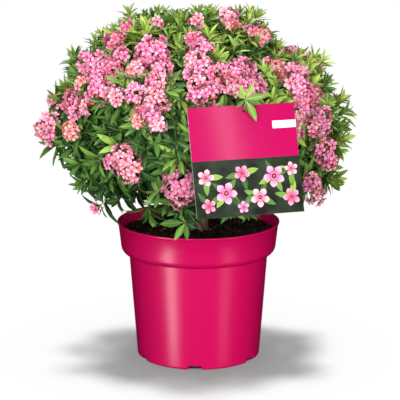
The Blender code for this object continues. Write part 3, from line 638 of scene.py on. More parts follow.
# %% [markdown]
# ## The crown's rule
#
# The CAD source grows the crown by a rule: a dome whose outline is a rounded ellipse, and masses of foliage
# spaced round it in three rings. The same rule is written again here, so the finer twigs keep its reach.
# A point's share says how far out it lies: 0 is the middle of the crown, and 1 is its outline.

# %% Crown rule
CROWN_CENTRE = np.array((0, 0, 0.340))
CROWN_REACH = 0.234
CROWN_RISE = 0.168
CROWN_DROP = 0.156
TOP_EXPONENT = 1.8
LOW_EXPONENT = 2.0
BOUGHS = 7
MASS_RINGS = (("low", BOUGHS, -27, -64.3), ("middle", BOUGHS, 17, -38.6), ("top", 3, 58, -100))
SEED_SHARE = 0.66
LIGHT_PULL = 0.35
GOLDEN_ANGLE = 137.508
UP = np.array((0, 0, 1.0))


def crown_direction(azimuth, elevation):
    """Azimuth in degrees from the front, to the right; elevation in degrees above the crown's middle."""
    a, e = np.radians(azimuth), np.radians(elevation)
    return np.stack(np.broadcast_arrays(np.cos(e) * np.sin(a), -np.cos(e) * np.cos(a), np.sin(e)), -1)


def crown_share(points):
    offset = points - CROWN_CENTRE
    sideways = np.hypot(offset[..., 0], offset[..., 1]) / CROWN_REACH
    above = offset[..., 2] > 0
    upright = np.abs(offset[..., 2]) / np.where(above, CROWN_RISE, CROWN_DROP)
    exponent = np.where(above, TOP_EXPONENT, LOW_EXPONENT)
    return (sideways**exponent + upright**exponent) ** (1 / exponent)


def crown_point(azimuth, elevation, share=1.0):
    offset = crown_direction(azimuth, elevation) * CROWN_REACH
    offset[..., 2] *= np.where(offset[..., 2] > 0, CROWN_RISE, CROWN_DROP) / CROWN_REACH
    return CROWN_CENTRE + offset * (share / crown_share(CROWN_CENTRE + offset))[..., None]


def shoot_axis(tips):
    """Twigs grow outwards and turn up to the light."""
    outward = tips - CROWN_CENTRE
    outward[..., 2] *= (CROWN_REACH / CROWN_RISE) ** 2
    return units(units(outward) + UP * LIGHT_PULL)


def make_masses():
    """Each mass's name, ring, place in it, and middle."""
    masses = []
    for ring, count, elevation, first in MASS_RINGS:
        for place in range(count):
            name = f"foliage_{ring}_{place + 1}"
            middle = crown_point(first + 360 * place / count, elevation, SEED_SHARE)
            masses.append({"name": name, "ring": ring, "place": place, "middle": middle})
    return masses


masses = make_masses()
mass_middles = np.array([mass["middle"] for mass in masses])
assert sorted(mass["name"] for mass in masses) == MASS_NAMES
print(f"{len(masses)} masses, the first in the middle at {np.round(mass_middles[0], 3)}")

# %% [markdown]
# ### An uneven outline
#
# No real crown is a smooth ellipse. Seen from the front, this one has shoulders and hollows, and the table
# gives how far it reaches there at even steps, from the right-hand side up and over to the left and below.
# Away from that view, noise takes the table's place, so the back and the sides are just as uneven.

# %% Outline
OUTLINE_STEP = 12
OUTLINE_SHARES = (
    0.91, 0.89, 1.02, 0.78, 0.83, 0.97, 0.96, 1.08, 0.86, 0.96, 1.10, 1.05, 0.99, 0.97, 0.91,
    1.04, 0.93, 1.08, 1.05, 0.98, 0.93, 0.91, 0.90, 0.91, 0.92, 0.94, 0.93, 0.88, 1.13, 0.88,
)
OUTLINE_MEAN = 0.96
OUTLINE_NOISE = 0.12
OUTLINE_SCALE = 2.6


def outline_share(points):
    """How far out the leaves may reach in the direction of each point."""
    offset = points - CROWN_CENTRE
    turn = np.degrees(np.arctan2(offset[..., 2], offset[..., 0])) % 360
    front = np.interp(turn, np.arange(len(OUTLINE_SHARES)) * OUTLINE_STEP, OUTLINE_SHARES, period=360)
    flat = offset.reshape(-1, 3) / np.linalg.norm(offset.reshape(-1, 3), axis=1, keepdims=True)
    wave = np.array([noise.noise(Vector(spot) * OUTLINE_SCALE) for spot in flat]).reshape(turn.shape)
    edge_on = 1 - (offset[..., 1] / np.linalg.norm(offset, axis=-1)) ** 2
    return front * edge_on + (OUTLINE_MEAN + OUTLINE_NOISE * wave) * (1 - edge_on)


print(f"outline at {len(OUTLINE_SHARES)} steps of {OUTLINE_STEP} degrees")

# %% [markdown]
# ## Where the card hangs
#
# The card hides part of the crown, and no leaf may grow through it. So its place comes before the leaves.
# It hangs by a hole on one twig, leans back against the foliage and is turned a little to the right.

# %% Card frame
CARD_WIDTH = 0.142
CARD_HEIGHT = 0.1405
CARD_THICKNESS = 0.0009
CARD_HOLE_RADIUS = 0.0028
CARD_HOLE_DROP = 0.0065
CARD_HOLE_SIDE = 0.004
CARD_HANG = Vector((0.0584, -0.228, 0.3923))
CARD_LEAN = math.radians(18)
CARD_YAW = math.radians(16)
CARD_ROLL = math.radians(0.5)
CARD_CLEAR = 0.002
POT_CLEAR = 0.003
CARD_FRAME = (
    Matrix.Translation(CARD_HANG)
    @ Matrix.Rotation(CARD_YAW, 4, "Z")
    @ Matrix.Rotation(-CARD_ROLL, 4, "Y")
    @ Matrix.Rotation(-CARD_LEAN, 4, "X")
)
CARD_LEFT = -CARD_WIDTH / 2 - CARD_HOLE_SIDE
CARD_RIGHT = CARD_LEFT + CARD_WIDTH
CARD_BOTTOM = CARD_HOLE_DROP - CARD_HEIGHT
CARD_AXES = np.array(CARD_FRAME.to_3x3())


def card_coordinates(points):
    """Points in the card's own frame: X along it, Y out of its back, Z up it."""
    return (points - np.array(CARD_HANG)) @ CARD_AXES


def behind_card(points):
    """The distance behind the card's back, and infinity where the card isn't in front of the point."""
    local = card_coordinates(points)
    sideways = np.maximum(CARD_LEFT - local[..., 0], local[..., 0] - CARD_LEFT - CARD_WIDTH)
    upright = np.maximum(CARD_BOTTOM - local[..., 2], local[..., 2] - CARD_HOLE_DROP)
    covered = np.maximum(sideways, upright) < CARD_CLEAR
    return np.where(covered, local[..., 1] - CARD_THICKNESS, np.inf)


def clear_of_pot(points, margin=POT_CLEAR):
    """True above the compost and outside the rim."""
    radius = np.hypot(points[..., 0], points[..., 1])
    return (radius > RIM_RADIUS + margin) | (points[..., 2] > POT_HEIGHT + margin)


card_low, card_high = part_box("label_card")
print(f"card from {tuple(round(v, 3) for v in card_low)} to {tuple(round(v, 3) for v in card_high)}")

# %% [markdown]
# ## Where the flower heads sit
#
# A rhododendron opens its flowers in round heads at the ends of twigs, and neighbours run into one cluster.
# The table gives each head of the front as read from the picture: azimuth and elevation in degrees, radius in
# millimetres, and the family of its colour. The back repeats them with a turn, and a few more fill the sides.

# %% Flower head places
PINK, BLUSH, ROSE, SALMON = range(4)
BACK_TURN = 173
FRONT_HEADS = (
    (-61, 37, 16.3, PINK), (-50, 35, 19, PINK), (-40, 36, 10.8, ROSE), (-44, 25, 19, PINK),
    (-33, 23, 10.8, BLUSH), (-52, 50, 10.8, ROSE), (-40, 43, 9.5, PINK), (-26, 48, 20.3, PINK),
    (-29, 38, 13.6, PINK), (-17, 40, 13.6, PINK), (-17, 31, 13, BLUSH), (-25, 25, 12.2, PINK),
    (-20, 22, 17.6, PINK), (-16, 21, 14.5, BLUSH), (-17, 15, 10.8, PINK), (-14, 11, 9.5, BLUSH),
    (-22, 12, 8.1, SALMON), (-63, 16, 16.3, ROSE), (-50, 17, 10.8, BLUSH), (-56, 27, 6.8, SALMON),
    (-67, 1, 17.6, BLUSH), (-52, 3, 10.8, SALMON), (-55, 11, 8.1, PINK), (-28, -8, 18.5, BLUSH),
    (-25, -14, 13, BLUSH), (-33, -11, 9.5, PINK), (-8, -26, 27, PINK), (-51, -41, 5.4, ROSE),
    (-1, 58, 10.8, ROSE), (1, 50, 13.6, PINK), (0, 42, 14.9, BLUSH), (-2, 37, 12.2, PINK),
    (0, 31, 12.2, BLUSH), (24, 40, 16.3, PINK), (16, 37, 13.6, PINK), (9, 36, 13.6, PINK),
    (25, 29, 14.9, PINK), (18, 30, 12.2, PINK), (12, 31, 12.2, BLUSH), (2, 25, 16.3, PINK),
    (66, 61, 13.6, SALMON), (45, 74, 12.2, BLUSH), (36, 67, 8.1, SALMON), (45, 62, 6.8, PINK),
    (-2, 72, 8.1, BLUSH), (41, 43, 6.8, SALMON), (55, 42, 10.8, SALMON), (45, 36, 8.1, SALMON),
    (57, 34, 14.9, PINK), (46, 28, 12.2, PINK), (45, 23, 12.2, PINK), (44, 19, 10.8, ROSE),
    (52, 22, 8.1, ROSE), (49, 17, 8.1, PINK), (41, 13, 10.8, BLUSH), (37, 6, 9.5, BLUSH),
    (57, 8, 17.6, PINK), (50, 4, 10.8, BLUSH), (60, -10, 16.3, PINK), (64, -18, 9.5, ROSE),
    (47, -24, 12.2, PINK), (66, -38, 12.2, BLUSH), (-48, 57, 8.1, PINK), (-35, 65, 6.8, BLUSH),
)
SIDE_HEADS = (
    (116, 27, 15, PINK), (104, 3, 16, BLUSH), (102, -15, 12, ROSE), (122, 21, 12, PINK),
    (-115, 30, 16, PINK), (-99, 8, 15, BLUSH), (-98, -12, 13, PINK), (-121, 23, 12, ROSE),
)
OUTLOOK_PULL = 1.1
OUTLOOK_RISE = 0.1
SIDE_SINK = 0.045
SIDE_COSINES = (-0.65, 0.20)
BACK_HIGHEST = 50


def sunk_into_crown(centre, radius, sink):
    """The centre moved straight in or out, so that the head reaches the outline, or sinks below it."""
    limit = outline_share(centre) - sink - radius / CROWN_REACH
    return CROWN_CENTRE + (centre - CROWN_CENTRE) * (limit / crown_share(centre))


def place_heads():
    """The centres, radii and families of all flower heads."""
    back = tuple((row[0] + BACK_TURN, *row[1:]) for row in FRONT_HEADS if row[1] < BACK_HIGHEST)
    table = np.array(FRONT_HEADS + SIDE_HEADS + back)
    radii = table[:, 2] / 1000
    centres = []
    for (azimuth, elevation, _, _), radius in zip(table, radii):
        at_side = SIDE_COSINES[0] < math.cos(math.radians(azimuth)) < SIDE_COSINES[1]
        centre = sunk_into_crown(crown_point(azimuth, elevation), radius, SIDE_SINK * at_side)
        edges = [centre + np.array((x, 0, z)) * radius for x, z in ((0, 0), (1, 0), (-1, 0), (0, 1), (0, -1))]
        lack = radius + CARD_CLEAR - min(behind_card(edge) for edge in edges)
        centres.append(centre + CARD_AXES[:, 1] * max(0, lack))
    return np.array(centres), radii, table[:, 3].astype(int)


head_centres, head_radii, head_families = place_heads()
head_axes = shoot_axis(head_centres.copy())
head_outlooks = units(head_axes + OUTLOOK_PULL * np.array((0, 1, 0)) * np.sign(head_centres[:, 1:2])
                      + UP * OUTLOOK_RISE)
print(f"{len(head_centres)} flower heads, the highest at {head_centres[:, 2].max():.3f} m")

# %% [markdown]
# ## Trunk and boughs
#
# A short stem leans a little and forks into seven boughs and a leader. Each bough leaves the fork's slope
# and bends up into the crown, so its path is a curve with a direction at both ends, as in the CAD source.

# %% Limb paths
TRUNK_LEAN = math.radians(4)
FORK_RADIUS = 0.0138
FORK_TOP_RADIUS = 0.0088
FORK_HEIGHT = 0.034
FORK_SLOPE = 0.010
HALF_FLAT = math.radians(20)
BOUGH_SHARE = 0.43
BOUGH_ELEVATION = -6
BOUGH_WANDER = 5
WANDER_STEP = 2.3
BOUGH_LIFT = 0.25
BOUGH_STEPS = 16
LEADER_DRIFT = (0.004, 0.003)
LIMB_SINK = 0.003
STRAIGHT_START = 0.005
HANDLE_SHARE = 0.4


def trunk_point(height):
    return np.array((height * math.tan(TRUNK_LEAN), 0, SOIL_HEIGHT + GAP + height))


def bough_azimuth(place):
    """Halfway between the low and the middle mass that the bough carries."""
    return (MASS_RINGS[0][3] + MASS_RINGS[1][3]) / 2 + 360 * place / BOUGHS


def bent_path(root, start_direction, end, end_direction, steps):
    """Points of a smooth bend that leaves and arrives in the given directions."""
    start = root + start_direction * STRAIGHT_START
    pull = np.linalg.norm(end - start) * HANDLE_SHARE
    handles = (start, start + start_direction * pull, end - end_direction * pull, end)
    path = [root]
    for t in np.linspace(0, 1, steps + 1):
        weights = ((1 - t) ** 3, 3 * t * (1 - t) ** 2, 3 * t * t * (1 - t), t**3)
        path.append(sum(handle * weight for handle, weight in zip(handles, weights)))
    return np.array(path)


def bough_paths():
    """The path of each bough and of the leader."""
    flat = math.cos(HALF_FLAT)
    slope = (FORK_RADIUS - FORK_TOP_RADIUS) * flat
    slant = math.hypot(slope, FORK_SLOPE)
    paths = {}
    for place in range(BOUGHS):
        outward = crown_direction(bough_azimuth(place), 0)
        direction = outward * FORK_SLOPE / slant + np.array((0, 0, slope / slant))
        root = trunk_point(FORK_HEIGHT - FORK_SLOPE / 2)
        root = root + outward * (FORK_RADIUS + FORK_TOP_RADIUS) / 2 * flat - direction * LIMB_SINK
        wander = BOUGH_WANDER * math.sin(WANDER_STEP * place)
        end = crown_point(bough_azimuth(place) + wander, BOUGH_ELEVATION + wander, BOUGH_SHARE)
        end_direction = units(units(end - CROWN_CENTRE) + UP * BOUGH_LIFT)
        paths[f"bough_{place + 1}"] = bent_path(root, direction, end, end_direction, BOUGH_STEPS)
    end = CROWN_CENTRE + np.array((*LEADER_DRIFT, CROWN_RISE * BOUGH_SHARE))
    paths["leader"] = bent_path(trunk_point(FORK_HEIGHT - LIMB_SINK), UP, end, UP, BOUGH_STEPS)
    return paths


limb_paths = bough_paths()
print(f"{len(limb_paths)} paths of {BOUGH_STEPS + 2} points")

# %% [markdown]
# ### Tubes
#
# Every limb, twig and stalk is a tube: rings of corners round a path, each ring square to it. One direction
# is kept square to the whole path, and all rings start from it, so a tube doesn't twist as it bends.

# %% Tubes
def tube_points(paths, radii, sides):
    """Rings round many paths at once: paths are (tubes, rings, 3) and radii (tubes, rings)."""
    ahead = units(np.gradient(paths, axis=1))
    whole = units(paths[:, -1] - paths[:, 0])
    aside = square_to(whole, np.broadcast_to(UP, whole.shape))
    across = square_to(ahead, np.broadcast_to(aside[:, None], ahead.shape))
    third = np.cross(ahead, across)
    turns = np.arange(sides) * math.tau / sides
    ring = across[..., None, :] * np.cos(turns)[:, None] + third[..., None, :] * np.sin(turns)[:, None]
    return paths[..., None, :] + ring * radii[..., None, None]


def tube_faces(rings, sides):
    """The faces of one tube with closed ends."""
    faces = []
    for ring in range(rings - 1):
        near, far = ring * sides, (ring + 1) * sides
        for k in range(sides):
            faces.append((near + k, near + (k + 1) % sides, far + (k + 1) % sides, far + k))
    faces.append(tuple(range(sides))[::-1])
    faces.append(tuple((rings - 1) * sides + k for k in range(sides)))
    return faces


def tube_mesh(name, paths, radii, sides, kinds=0):
    """One mesh of many tubes. The radius may be one for all."""
    points = tube_points(paths, np.broadcast_to(radii, paths.shape[:2]), sides)
    return joined_mesh(name, points.reshape(len(paths), -1, 3), tube_faces(paths.shape[1], sides), kinds)


print(f"a tube of five rings and four sides has {len(tube_faces(5, 4))} faces")

# %% [markdown]
# ### Bark
#
# The CAD limbs are smooth tubes with few sides. Real bark on a small rhododendron is thin and finely
# furrowed along the limb, so each limb is made again as a tube with more corners, and its radius follows a
# noise that is stretched along the wood.

# %% Bark
TRUNK_LEVELS = (
    (0, TRUNK_FOOT_RADIUS), (0.002, 0.0152), (0.005, 0.0138), (0.010, 0.0128), (0.014, 0.0125),
    (0.019, 0.0128), (0.024, FORK_RADIUS), (0.028, 0.0124), (0.031, 0.0108), (0.034, FORK_TOP_RADIUS),
    (0.0348, 0.004),
)
TRUNK_SINK = 0.002
LIMB_RADII = (0.0050, 0.00279)
BARK_SIDES = 20
FURROWS = 9
FURROW_DEPTH = 0.16
FURROW_STEP = 0.22
FURROW_FRACTAL = (0.8, 2.0, 3)
SEED_STEP = 7.3


def furrowed(points, centres, seed):
    """Ring points with bark furrows: the radius follows a noise that is stretched along the limb."""
    rings, sides = points.shape[:2]
    relief = np.zeros((rings, sides))
    for ring in range(rings):
        for k in range(sides):
            turn = math.tau * k / sides
            spot = Vector((math.cos(turn), math.sin(turn), 0)) * FURROWS / 4
            spot.z = ring * FURROW_STEP + seed * SEED_STEP
            relief[ring, k] = noise.fractal(spot, *FURROW_FRACTAL)
    return centres[:, None] + (points - centres[:, None]) * (1 + FURROW_DEPTH * relief)[..., None]


def limb_mesh(name, path, radii, seed):
    points = tube_points(path[None], radii[None], BARK_SIDES)[0]
    points = furrowed(points, path, seed).reshape(1, -1, 3)
    return joined_mesh(name, points, tube_faces(len(path), BARK_SIDES))


bark = new_material("furrowed_bark", (0.13, 0.075, 0.045), 0.85)
wander_colour(bark, (0.060, 0.034, 0.022), (0.200, 0.130, 0.085), 220, detail=6, stretch=(1, 1, 0.25))
add_relief(bark, 900, 0.0006, 0.9, detail=6, stretch=(1, 1, 0.3))

trunk_path = np.array([trunk_point(height) for height, _ in TRUNK_LEVELS])
trunk_path[0, 2] -= TRUNK_SINK
trunk_radii = np.array([radius for _, radius in TRUNK_LEVELS])
object_of("trunk_bark", limb_mesh("trunk_bark", trunk_path, trunk_radii, 0), [bark], ["trunk"])
for number, (node, path) in enumerate(limb_paths.items()):
    taper = np.linspace(*LIMB_RADII, len(path))
    object_of(f"{node}_bark", limb_mesh(node, path, taper, number + 1), [bark], [node])
print(f"trunk and {len(limb_paths)} limbs with furrowed bark")

# %% [markdown]
# ## Twigs that grow from the boughs
#
# The tips of the leafy twigs lie on a golden spiral round the dome, which spreads them evenly, in three
# layers. Noise pulls some in and pushes some out, so they stand in tufts. None lies on a flower head, on the
# pot or in front of the card. Low down they are thinned out, because the sky shows between the sprays there.

# %% Twig tips
OUTER_SPACING = 0.0185
OUTER_SHARES = (0.75, 0.975)
MIDDLE_SPACING = 0.030
MIDDLE_SHARES = (0.62, 0.76)
INNER_SPACING = 0.036
INNER_SHARES = (0.42, 0.58)
TUFT_SCALE = 18
TUFT_DEPTH = 0.9
LEVEL_NOISE = 0.35
AZIMUTH_NOISE = 3
TIP_NOISE = 0.12
LOWEST = -62
HEAD_COVER = 1.06
TIP_CLEAR_POT = 0.006
TIP_CLEAR_CARD = 0.012
AIRY_HEIGHTS = (0.235, 0.300, 0.400)
AIRY_CHANCES = (0.30, 0.62, 1.0)
AIRY_SIDES = (0.55, 1.0, 1.5)
AIRY_RADIUS = 0.110
LOW_CHANCE = 0.66
DOME_SWELL = 1.24
CROWN_AREA = math.tau * CROWN_REACH * (CROWN_RISE + CROWN_DROP) / 2 * (1 + math.sin(math.radians(-LOWEST)))
CROWN_AREA *= DOME_SWELL


def airy(tips, generator):
    """Thins the tips out low down and away from the trunk, and more so on the left."""
    aside = np.hypot(tips[:, 0], tips[:, 1])
    chance = np.interp(tips[:, 2], AIRY_HEIGHTS, AIRY_CHANCES)
    sides = np.interp(tips[:, 0] / CROWN_REACH, (-1, 0, 1), AIRY_SIDES)
    chance = chance * np.where(chance < 1, sides, 1)
    chance = np.where(aside > AIRY_RADIUS, chance, np.maximum(chance, LOW_CHANCE))
    chance = np.where(crown_share(tips) > INNER_SHARES[1], chance, 1)
    return generator.uniform(0, 1, len(tips)) < chance


def off_heads(points, cover):
    """True outside all flower heads, whose radii are scaled by the cover."""
    distance = np.linalg.norm(points[:, None] - head_centres[None], axis=2)
    return np.all(distance > head_radii * cover, axis=1)


def spiral_tips(spacing, shares, generator):
    """Tips spread evenly over the dome at shares between the two, in tufts, off the flower heads."""
    mean = sum(shares) / 2
    count = round(CROWN_AREA * mean**2 / spacing**2)
    height = 1 - (1 - math.sin(math.radians(LOWEST))) * (np.arange(count) + 0.5) / count
    azimuth = np.arange(count) * GOLDEN_ANGLE + generator.normal(0, AZIMUTH_NOISE, count)
    elevation = np.degrees(np.arcsin(height))
    tufts = [noise.noise(Vector(spot) * TUFT_SCALE) for spot in crown_point(azimuth, elevation)]
    level = 0.5 + TUFT_DEPTH * np.array(tufts) + generator.uniform(-LEVEL_NOISE, LEVEL_NOISE, count)
    tips = crown_point(azimuth, elevation, shares[0] + (shares[1] - shares[0]) * np.clip(level, 0, 1))
    tips = CROWN_CENTRE + (tips - CROWN_CENTRE) * outline_share(tips)[:, None]
    tips += generator.normal(0, spacing * TIP_NOISE, tips.shape)
    tips = tips[airy(tips, generator)]
    free = off_heads(tips, HEAD_COVER) & clear_of_pot(tips, TIP_CLEAR_POT)
    return tips[free & (behind_card(tips) > TIP_CLEAR_CARD)]


outer_tips = spiral_tips(OUTER_SPACING, OUTER_SHARES, generator)
middle_tips = spiral_tips(MIDDLE_SPACING, MIDDLE_SHARES, generator)
inner_tips = spiral_tips(INNER_SPACING, INNER_SHARES, generator)
print(f"{len(outer_tips)} outer, {len(middle_tips)} middle and {len(inner_tips)} inner twig tips")

# %% [markdown]
# ### Growing the twigs
#
# From each bough's end, stems lead to the middles of its masses. Every tip is then joined to the nearest wood
# of its own mass that lies deeper in the crown, and the feet of the flower heads are tips too. The new twig
# counts as wood for the next, so the branching looks grown.

# %% Growing the twigs
TWIG_STEPS = 5
STEM_STEPS = 6
STEM_SINK = 0.001
DEEPER = 0.05
TWIG_BEND = 0.45
AXIS_NOISE = 0.22
FOOT_SHARE = 0.95


def stem_path(mass):
    """From the end of the mass's bough to the mass's middle."""
    path = limb_paths["leader" if mass["ring"] == "top" else f"bough_{mass['place'] + 1}"]
    direction = units(path[-1] - path[-2])
    arrival = units(mass["middle"] - path[-1])
    return bent_path(path[-1] - direction * STEM_SINK, direction, mass["middle"], arrival, STEM_STEPS)


def curved_twig(root, tip, axis):
    """A twig that leaves its wood outwards and bends into the tip's axis."""
    handle = tip - axis * np.linalg.norm(tip - root) * TWIG_BEND
    t = np.linspace(0, 1, TWIG_STEPS)[:, None]
    return root * (1 - t) ** 2 + handle * 2 * t * (1 - t) + tip * t**2


def grow_mass(mass, tips, axes):
    """The twigs of one mass, from the deepest tip to the outermost, in the tips' order."""
    wood = list(stem_path(mass)[2:])
    shares = crown_share(tips)
    paths = {}
    for k in np.argsort(shares):
        spots = np.array(wood)
        distance = np.linalg.norm(spots - tips[k], axis=1)
        late = np.maximum(0, crown_share(spots) - shares[k] + DEEPER)
        paths[k] = curved_twig(spots[np.argmin(distance + late)], tips[k], axes[k])
        wood.extend(paths[k][1:-1])
    return np.array([paths[k] for k in range(len(tips))])


head_feet = head_centres - head_axes * head_radii[:, None] * FOOT_SHARE
all_tips = np.concatenate([outer_tips, middle_tips, inner_tips, head_feet])
all_axes = units(shoot_axis(all_tips.copy()) + generator.normal(0, AXIS_NOISE, all_tips.shape))
all_axes[len(all_tips) - len(head_feet):] = head_axes
owner = np.argmin(np.linalg.norm(all_tips[:, None] - mass_middles, axis=-1), axis=-1)
twig_paths = np.zeros((len(all_tips), TWIG_STEPS, 3))
for mass_number, mass in enumerate(masses):
    own = np.flatnonzero(owner == mass_number)
    twig_paths[own] = grow_mass(mass, all_tips[own], all_axes[own])
print(f"{len(twig_paths)} twigs of {TWIG_STEPS} points")

# %% [markdown]
# Old wood is brown, and this year's growth is green. So the twigs that end deep in the crown take bark,
# and the outer ones a green stalk. Four sides are enough for so thin a twig.

# %% Twig meshes
TWIG_DEPTHS = (0.4, 0.7, 0.95)
TWIG_RADII = (0.0020, 0.0013, 0.0008)
TWIG_TAPER = (1.25, 0.8)
STEM_RADIUS = 0.0023
GREEN_FROM = 0.79

new_stalk = new_material("green_stalk", (0.16, 0.21, 0.05), 0.6, (800, 0.0003, 0.4))
depth = crown_share(all_tips)
twig_radii = np.interp(depth, TWIG_DEPTHS, TWIG_RADII)[:, None] * np.linspace(*TWIG_TAPER, TWIG_STEPS)
twig_kinds = (depth > GREEN_FROM).astype(int)[:, None]
twigs = object_of("twigs", tube_mesh("twigs", twig_paths, twig_radii, 4, twig_kinds), [bark, new_stalk],
                  MASS_NAMES)
stem_paths = np.array([stem_path(mass) for mass in masses])
object_of("stems", tube_mesh("stems", stem_paths, STEM_RADIUS, 8), [bark], MASS_NAMES)
print(f"{len(twig_paths)} twigs, {triangle_count(twigs)} triangles")

# %% [markdown]
# ## Leaves
#
# A leaf of this shrub is 17 to 36 mm long, pointed at both ends, with a pale midrib and a blade that folds up
# a little on both sides and droops to its tip. The pattern is a flat outline with a strip for the midrib.
# Fold and droop differ from leaf to leaf, so they're added for each copy.

# %% Leaf pattern
LEAF_STATIONS = ((0.10, 0.22), (0.32, 0.80), (0.56, 1.0), (0.80, 0.64))
RIB_HALF = 0.085
RIB_FOOT = 0.8
INNER_STATIONS = ((0.15, 0.35), (0.50, 1.0), (0.80, 0.60))


def ribbed_leaf():
    """The outline with a strip for the midrib. Corners are (aside, along); True marks a face of the rib."""
    corners = [(-RIB_HALF * RIB_FOOT, 0), (RIB_HALF * RIB_FOOT, 0)]
    for along, half in LEAF_STATIONS:
        corners += [(-half, along), (-RIB_HALF, along), (RIB_HALF, along), (half, along)]
    corners.append((0, 1))
    tip = len(corners) - 1
    faces = [((0, 1, 4, 3), True), ((0, 3, 2), False), ((1, 5, 4), False)]
    for band in range(len(LEAF_STATIONS) - 1):
        a = 2 + 4 * band
        for strip in range(3):
            faces.append(((a + strip, a + strip + 1, a + strip + 5, a + strip + 4), strip == 1))
    a = tip - 4
    faces += [((a + strip, a + strip + 1, tip), strip == 1) for strip in range(3)]
    return np.array(corners), [face for face, _ in faces], np.array([rib for _, rib in faces])


def plain_leaf():
    """The outline with one fold line, for the leaves deep in the crown."""
    corners = [(0, 0)]
    for along, half in INNER_STATIONS:
        corners += [(-half, along), (0, along), (half, along)]
    corners.append((0, 1))
    tip = len(corners) - 1
    faces = [(0, 2, 1), (0, 3, 2)]
    for band in range(len(INNER_STATIONS) - 1):
        a = 1 + 3 * band
        faces += [(a, a + 1, a + 4, a + 3), (a + 1, a + 2, a + 5, a + 4)]
    faces += [(tip - 3, tip - 2, tip), (tip - 2, tip - 1, tip)]
    return np.array(corners), faces, np.zeros(len(faces), bool)


def leaf_points(pattern, leaves):
    """The corners of all leaves, each with its root, directions, length, width, droop and fold."""
    aside, along = pattern[:, 0], pattern[:, 1]
    length, width = leaves["length"][:, None], leaves["width"][:, None]
    local = np.zeros((len(leaves["root"]), len(pattern), 3))
    local[..., 0] = aside * width / 2
    local[..., 1] = along * length
    local[..., 2] = np.abs(local[..., 0]) * leaves["fold"][:, None]
    local[..., 2] -= leaves["droop"][:, None] * length * along**2
    across = np.cross(leaves["along"], leaves["up"])
    return framed(leaves["root"], across, leaves["along"], leaves["up"], local)


print(f"leaf patterns of {len(ribbed_leaf()[1])} and {len(plain_leaf()[1])} faces")

# %% [markdown]
# ### Whorls
#
# The leaves of one twig stand round its tip in a spiral. The oldest sit lowest, lie almost flat and are the
# longest; the youngest stand up in the middle. Leaves near the top of the crown are shorter and slimmer.
# A layer of leaves gives its count in a whorl, its length, how far the oldest and the youngest lean in
# degrees, and how far down the twig the oldest sits.

# %% Whorls
LEAF_LENGTH = 0.035
LEAF_RATIO = 0.30
LEAF_HEIGHTS = (0.25, 0.42)
TOP_LENGTH = 0.76
TOP_RATIO = 0.82
YOUNG_LOSS = 0.34
TURN_NOISE = 0.12
LEAN_NOISE = 8
LEAF_SIZES = (0.82, 1.12)
LEAF_WIDTHS = (0.85, 1.15)
LEAF_DROOPS = (-0.04, 0.30)
LEAF_FOLDS = (0.15, 0.75)
LEAF_BEYOND = 0.085
LAYERS = {
    "tips": (10, 1.0, (82, 18), 0.013),
    "below": (4, 1.05, (84, 56), 0.014),
    "middle": (8, 1.12, (92, 40), 0.014),
    "inner": (8, 1.25, (98, 45), 0.016),
    "collars": (9, 1.15, (100, 55), 0.010),
}


def whorls(layer, tips, axes, generator):
    """Leaves in spirals round the tips."""
    count, length, leans, depth = LAYERS[layer]
    shoots = len(tips)
    age = np.linspace(0, 1, count)[None, :]
    across = square_to(axes, units(generator.normal(size=axes.shape)))
    third = np.cross(axes, across)
    turn = np.radians(generator.uniform(0, 360, (shoots, 1)) + np.arange(count) * GOLDEN_ANGLE)
    turn = turn + generator.normal(0, TURN_NOISE, turn.shape)
    lean = leans[0] + (leans[1] - leans[0]) * age + generator.normal(0, LEAN_NOISE, (shoots, count))
    lean = np.radians(lean)
    outward = across[:, None] * np.cos(turn)[..., None] + third[:, None] * np.sin(turn)[..., None]
    axis = np.broadcast_to(axes[:, None], outward.shape)
    along = axis * np.cos(lean)[..., None] + outward * np.sin(lean)[..., None]
    up = axis * np.sin(lean)[..., None] - outward * np.cos(lean)[..., None]
    root = tips[:, None] - axis * (depth * (1 - age))[..., None]
    shorter = np.interp(tips[:, 2:], LEAF_HEIGHTS, (1, TOP_LENGTH))
    slimmer = np.interp(tips[:, 2:], LEAF_HEIGHTS, (1, TOP_RATIO))
    size = LEAF_LENGTH * length * shorter * (1 - YOUNG_LOSS * age**2)
    size = size * generator.uniform(*LEAF_SIZES, (shoots, count))
    width = size * LEAF_RATIO * slimmer * generator.uniform(*LEAF_WIDTHS, (shoots, count))
    return {
        "root": root.reshape(-1, 3),
        "along": along.reshape(-1, 3),
        "up": up.reshape(-1, 3),
        "length": size.ravel(),
        "width": width.ravel(),
        "droop": generator.uniform(*LEAF_DROOPS, shoots * count),
        "fold": generator.uniform(*LEAF_FOLDS, shoots * count),
        "shoot": np.repeat(np.arange(shoots), count),
        "limit": np.repeat(crown_share(tips) + LEAF_BEYOND, count),
    }


def chosen(leaves, which):
    """Some of the leaves."""
    return {key: value[which] for key, value in leaves.items()}


def joined_leaves(*groups):
    return {key: np.concatenate([group[key] for group in groups]) for key in groups[0]}


print(f"{len(LAYERS)} layers of whorls")

# %% [markdown]
# ### Leaves that fit
#
# A leaf that would stand too far out is shortened, and one that would touch the card, the pot or a flower
# head is left out. So is one that would hang in front of a head, because the heads stand free at their
# twigs' ends.

# %% Fitting
LEAF_REACH = 0.2385
LEAF_TOP = 0.512
SHORTENINGS = 4
SHORTER = 0.88
FIT_SHARES = (0.15, 0.4, 0.7, 1.0)
LEAF_COVER = 1.04
COLLAR_COVER = 0.82
LEAF_CLEAR_CARD = 0.003
OUTLOOK_REACH = 0.07
OUTLOOK_SHARE = 0.86


def point_along(leaves, share):
    """The point of each midrib at a share of its length."""
    drop = leaves["droop"] * share**2
    step = leaves["along"] * share - leaves["up"] * drop[:, None]
    return leaves["root"] + step * leaves["length"][:, None]


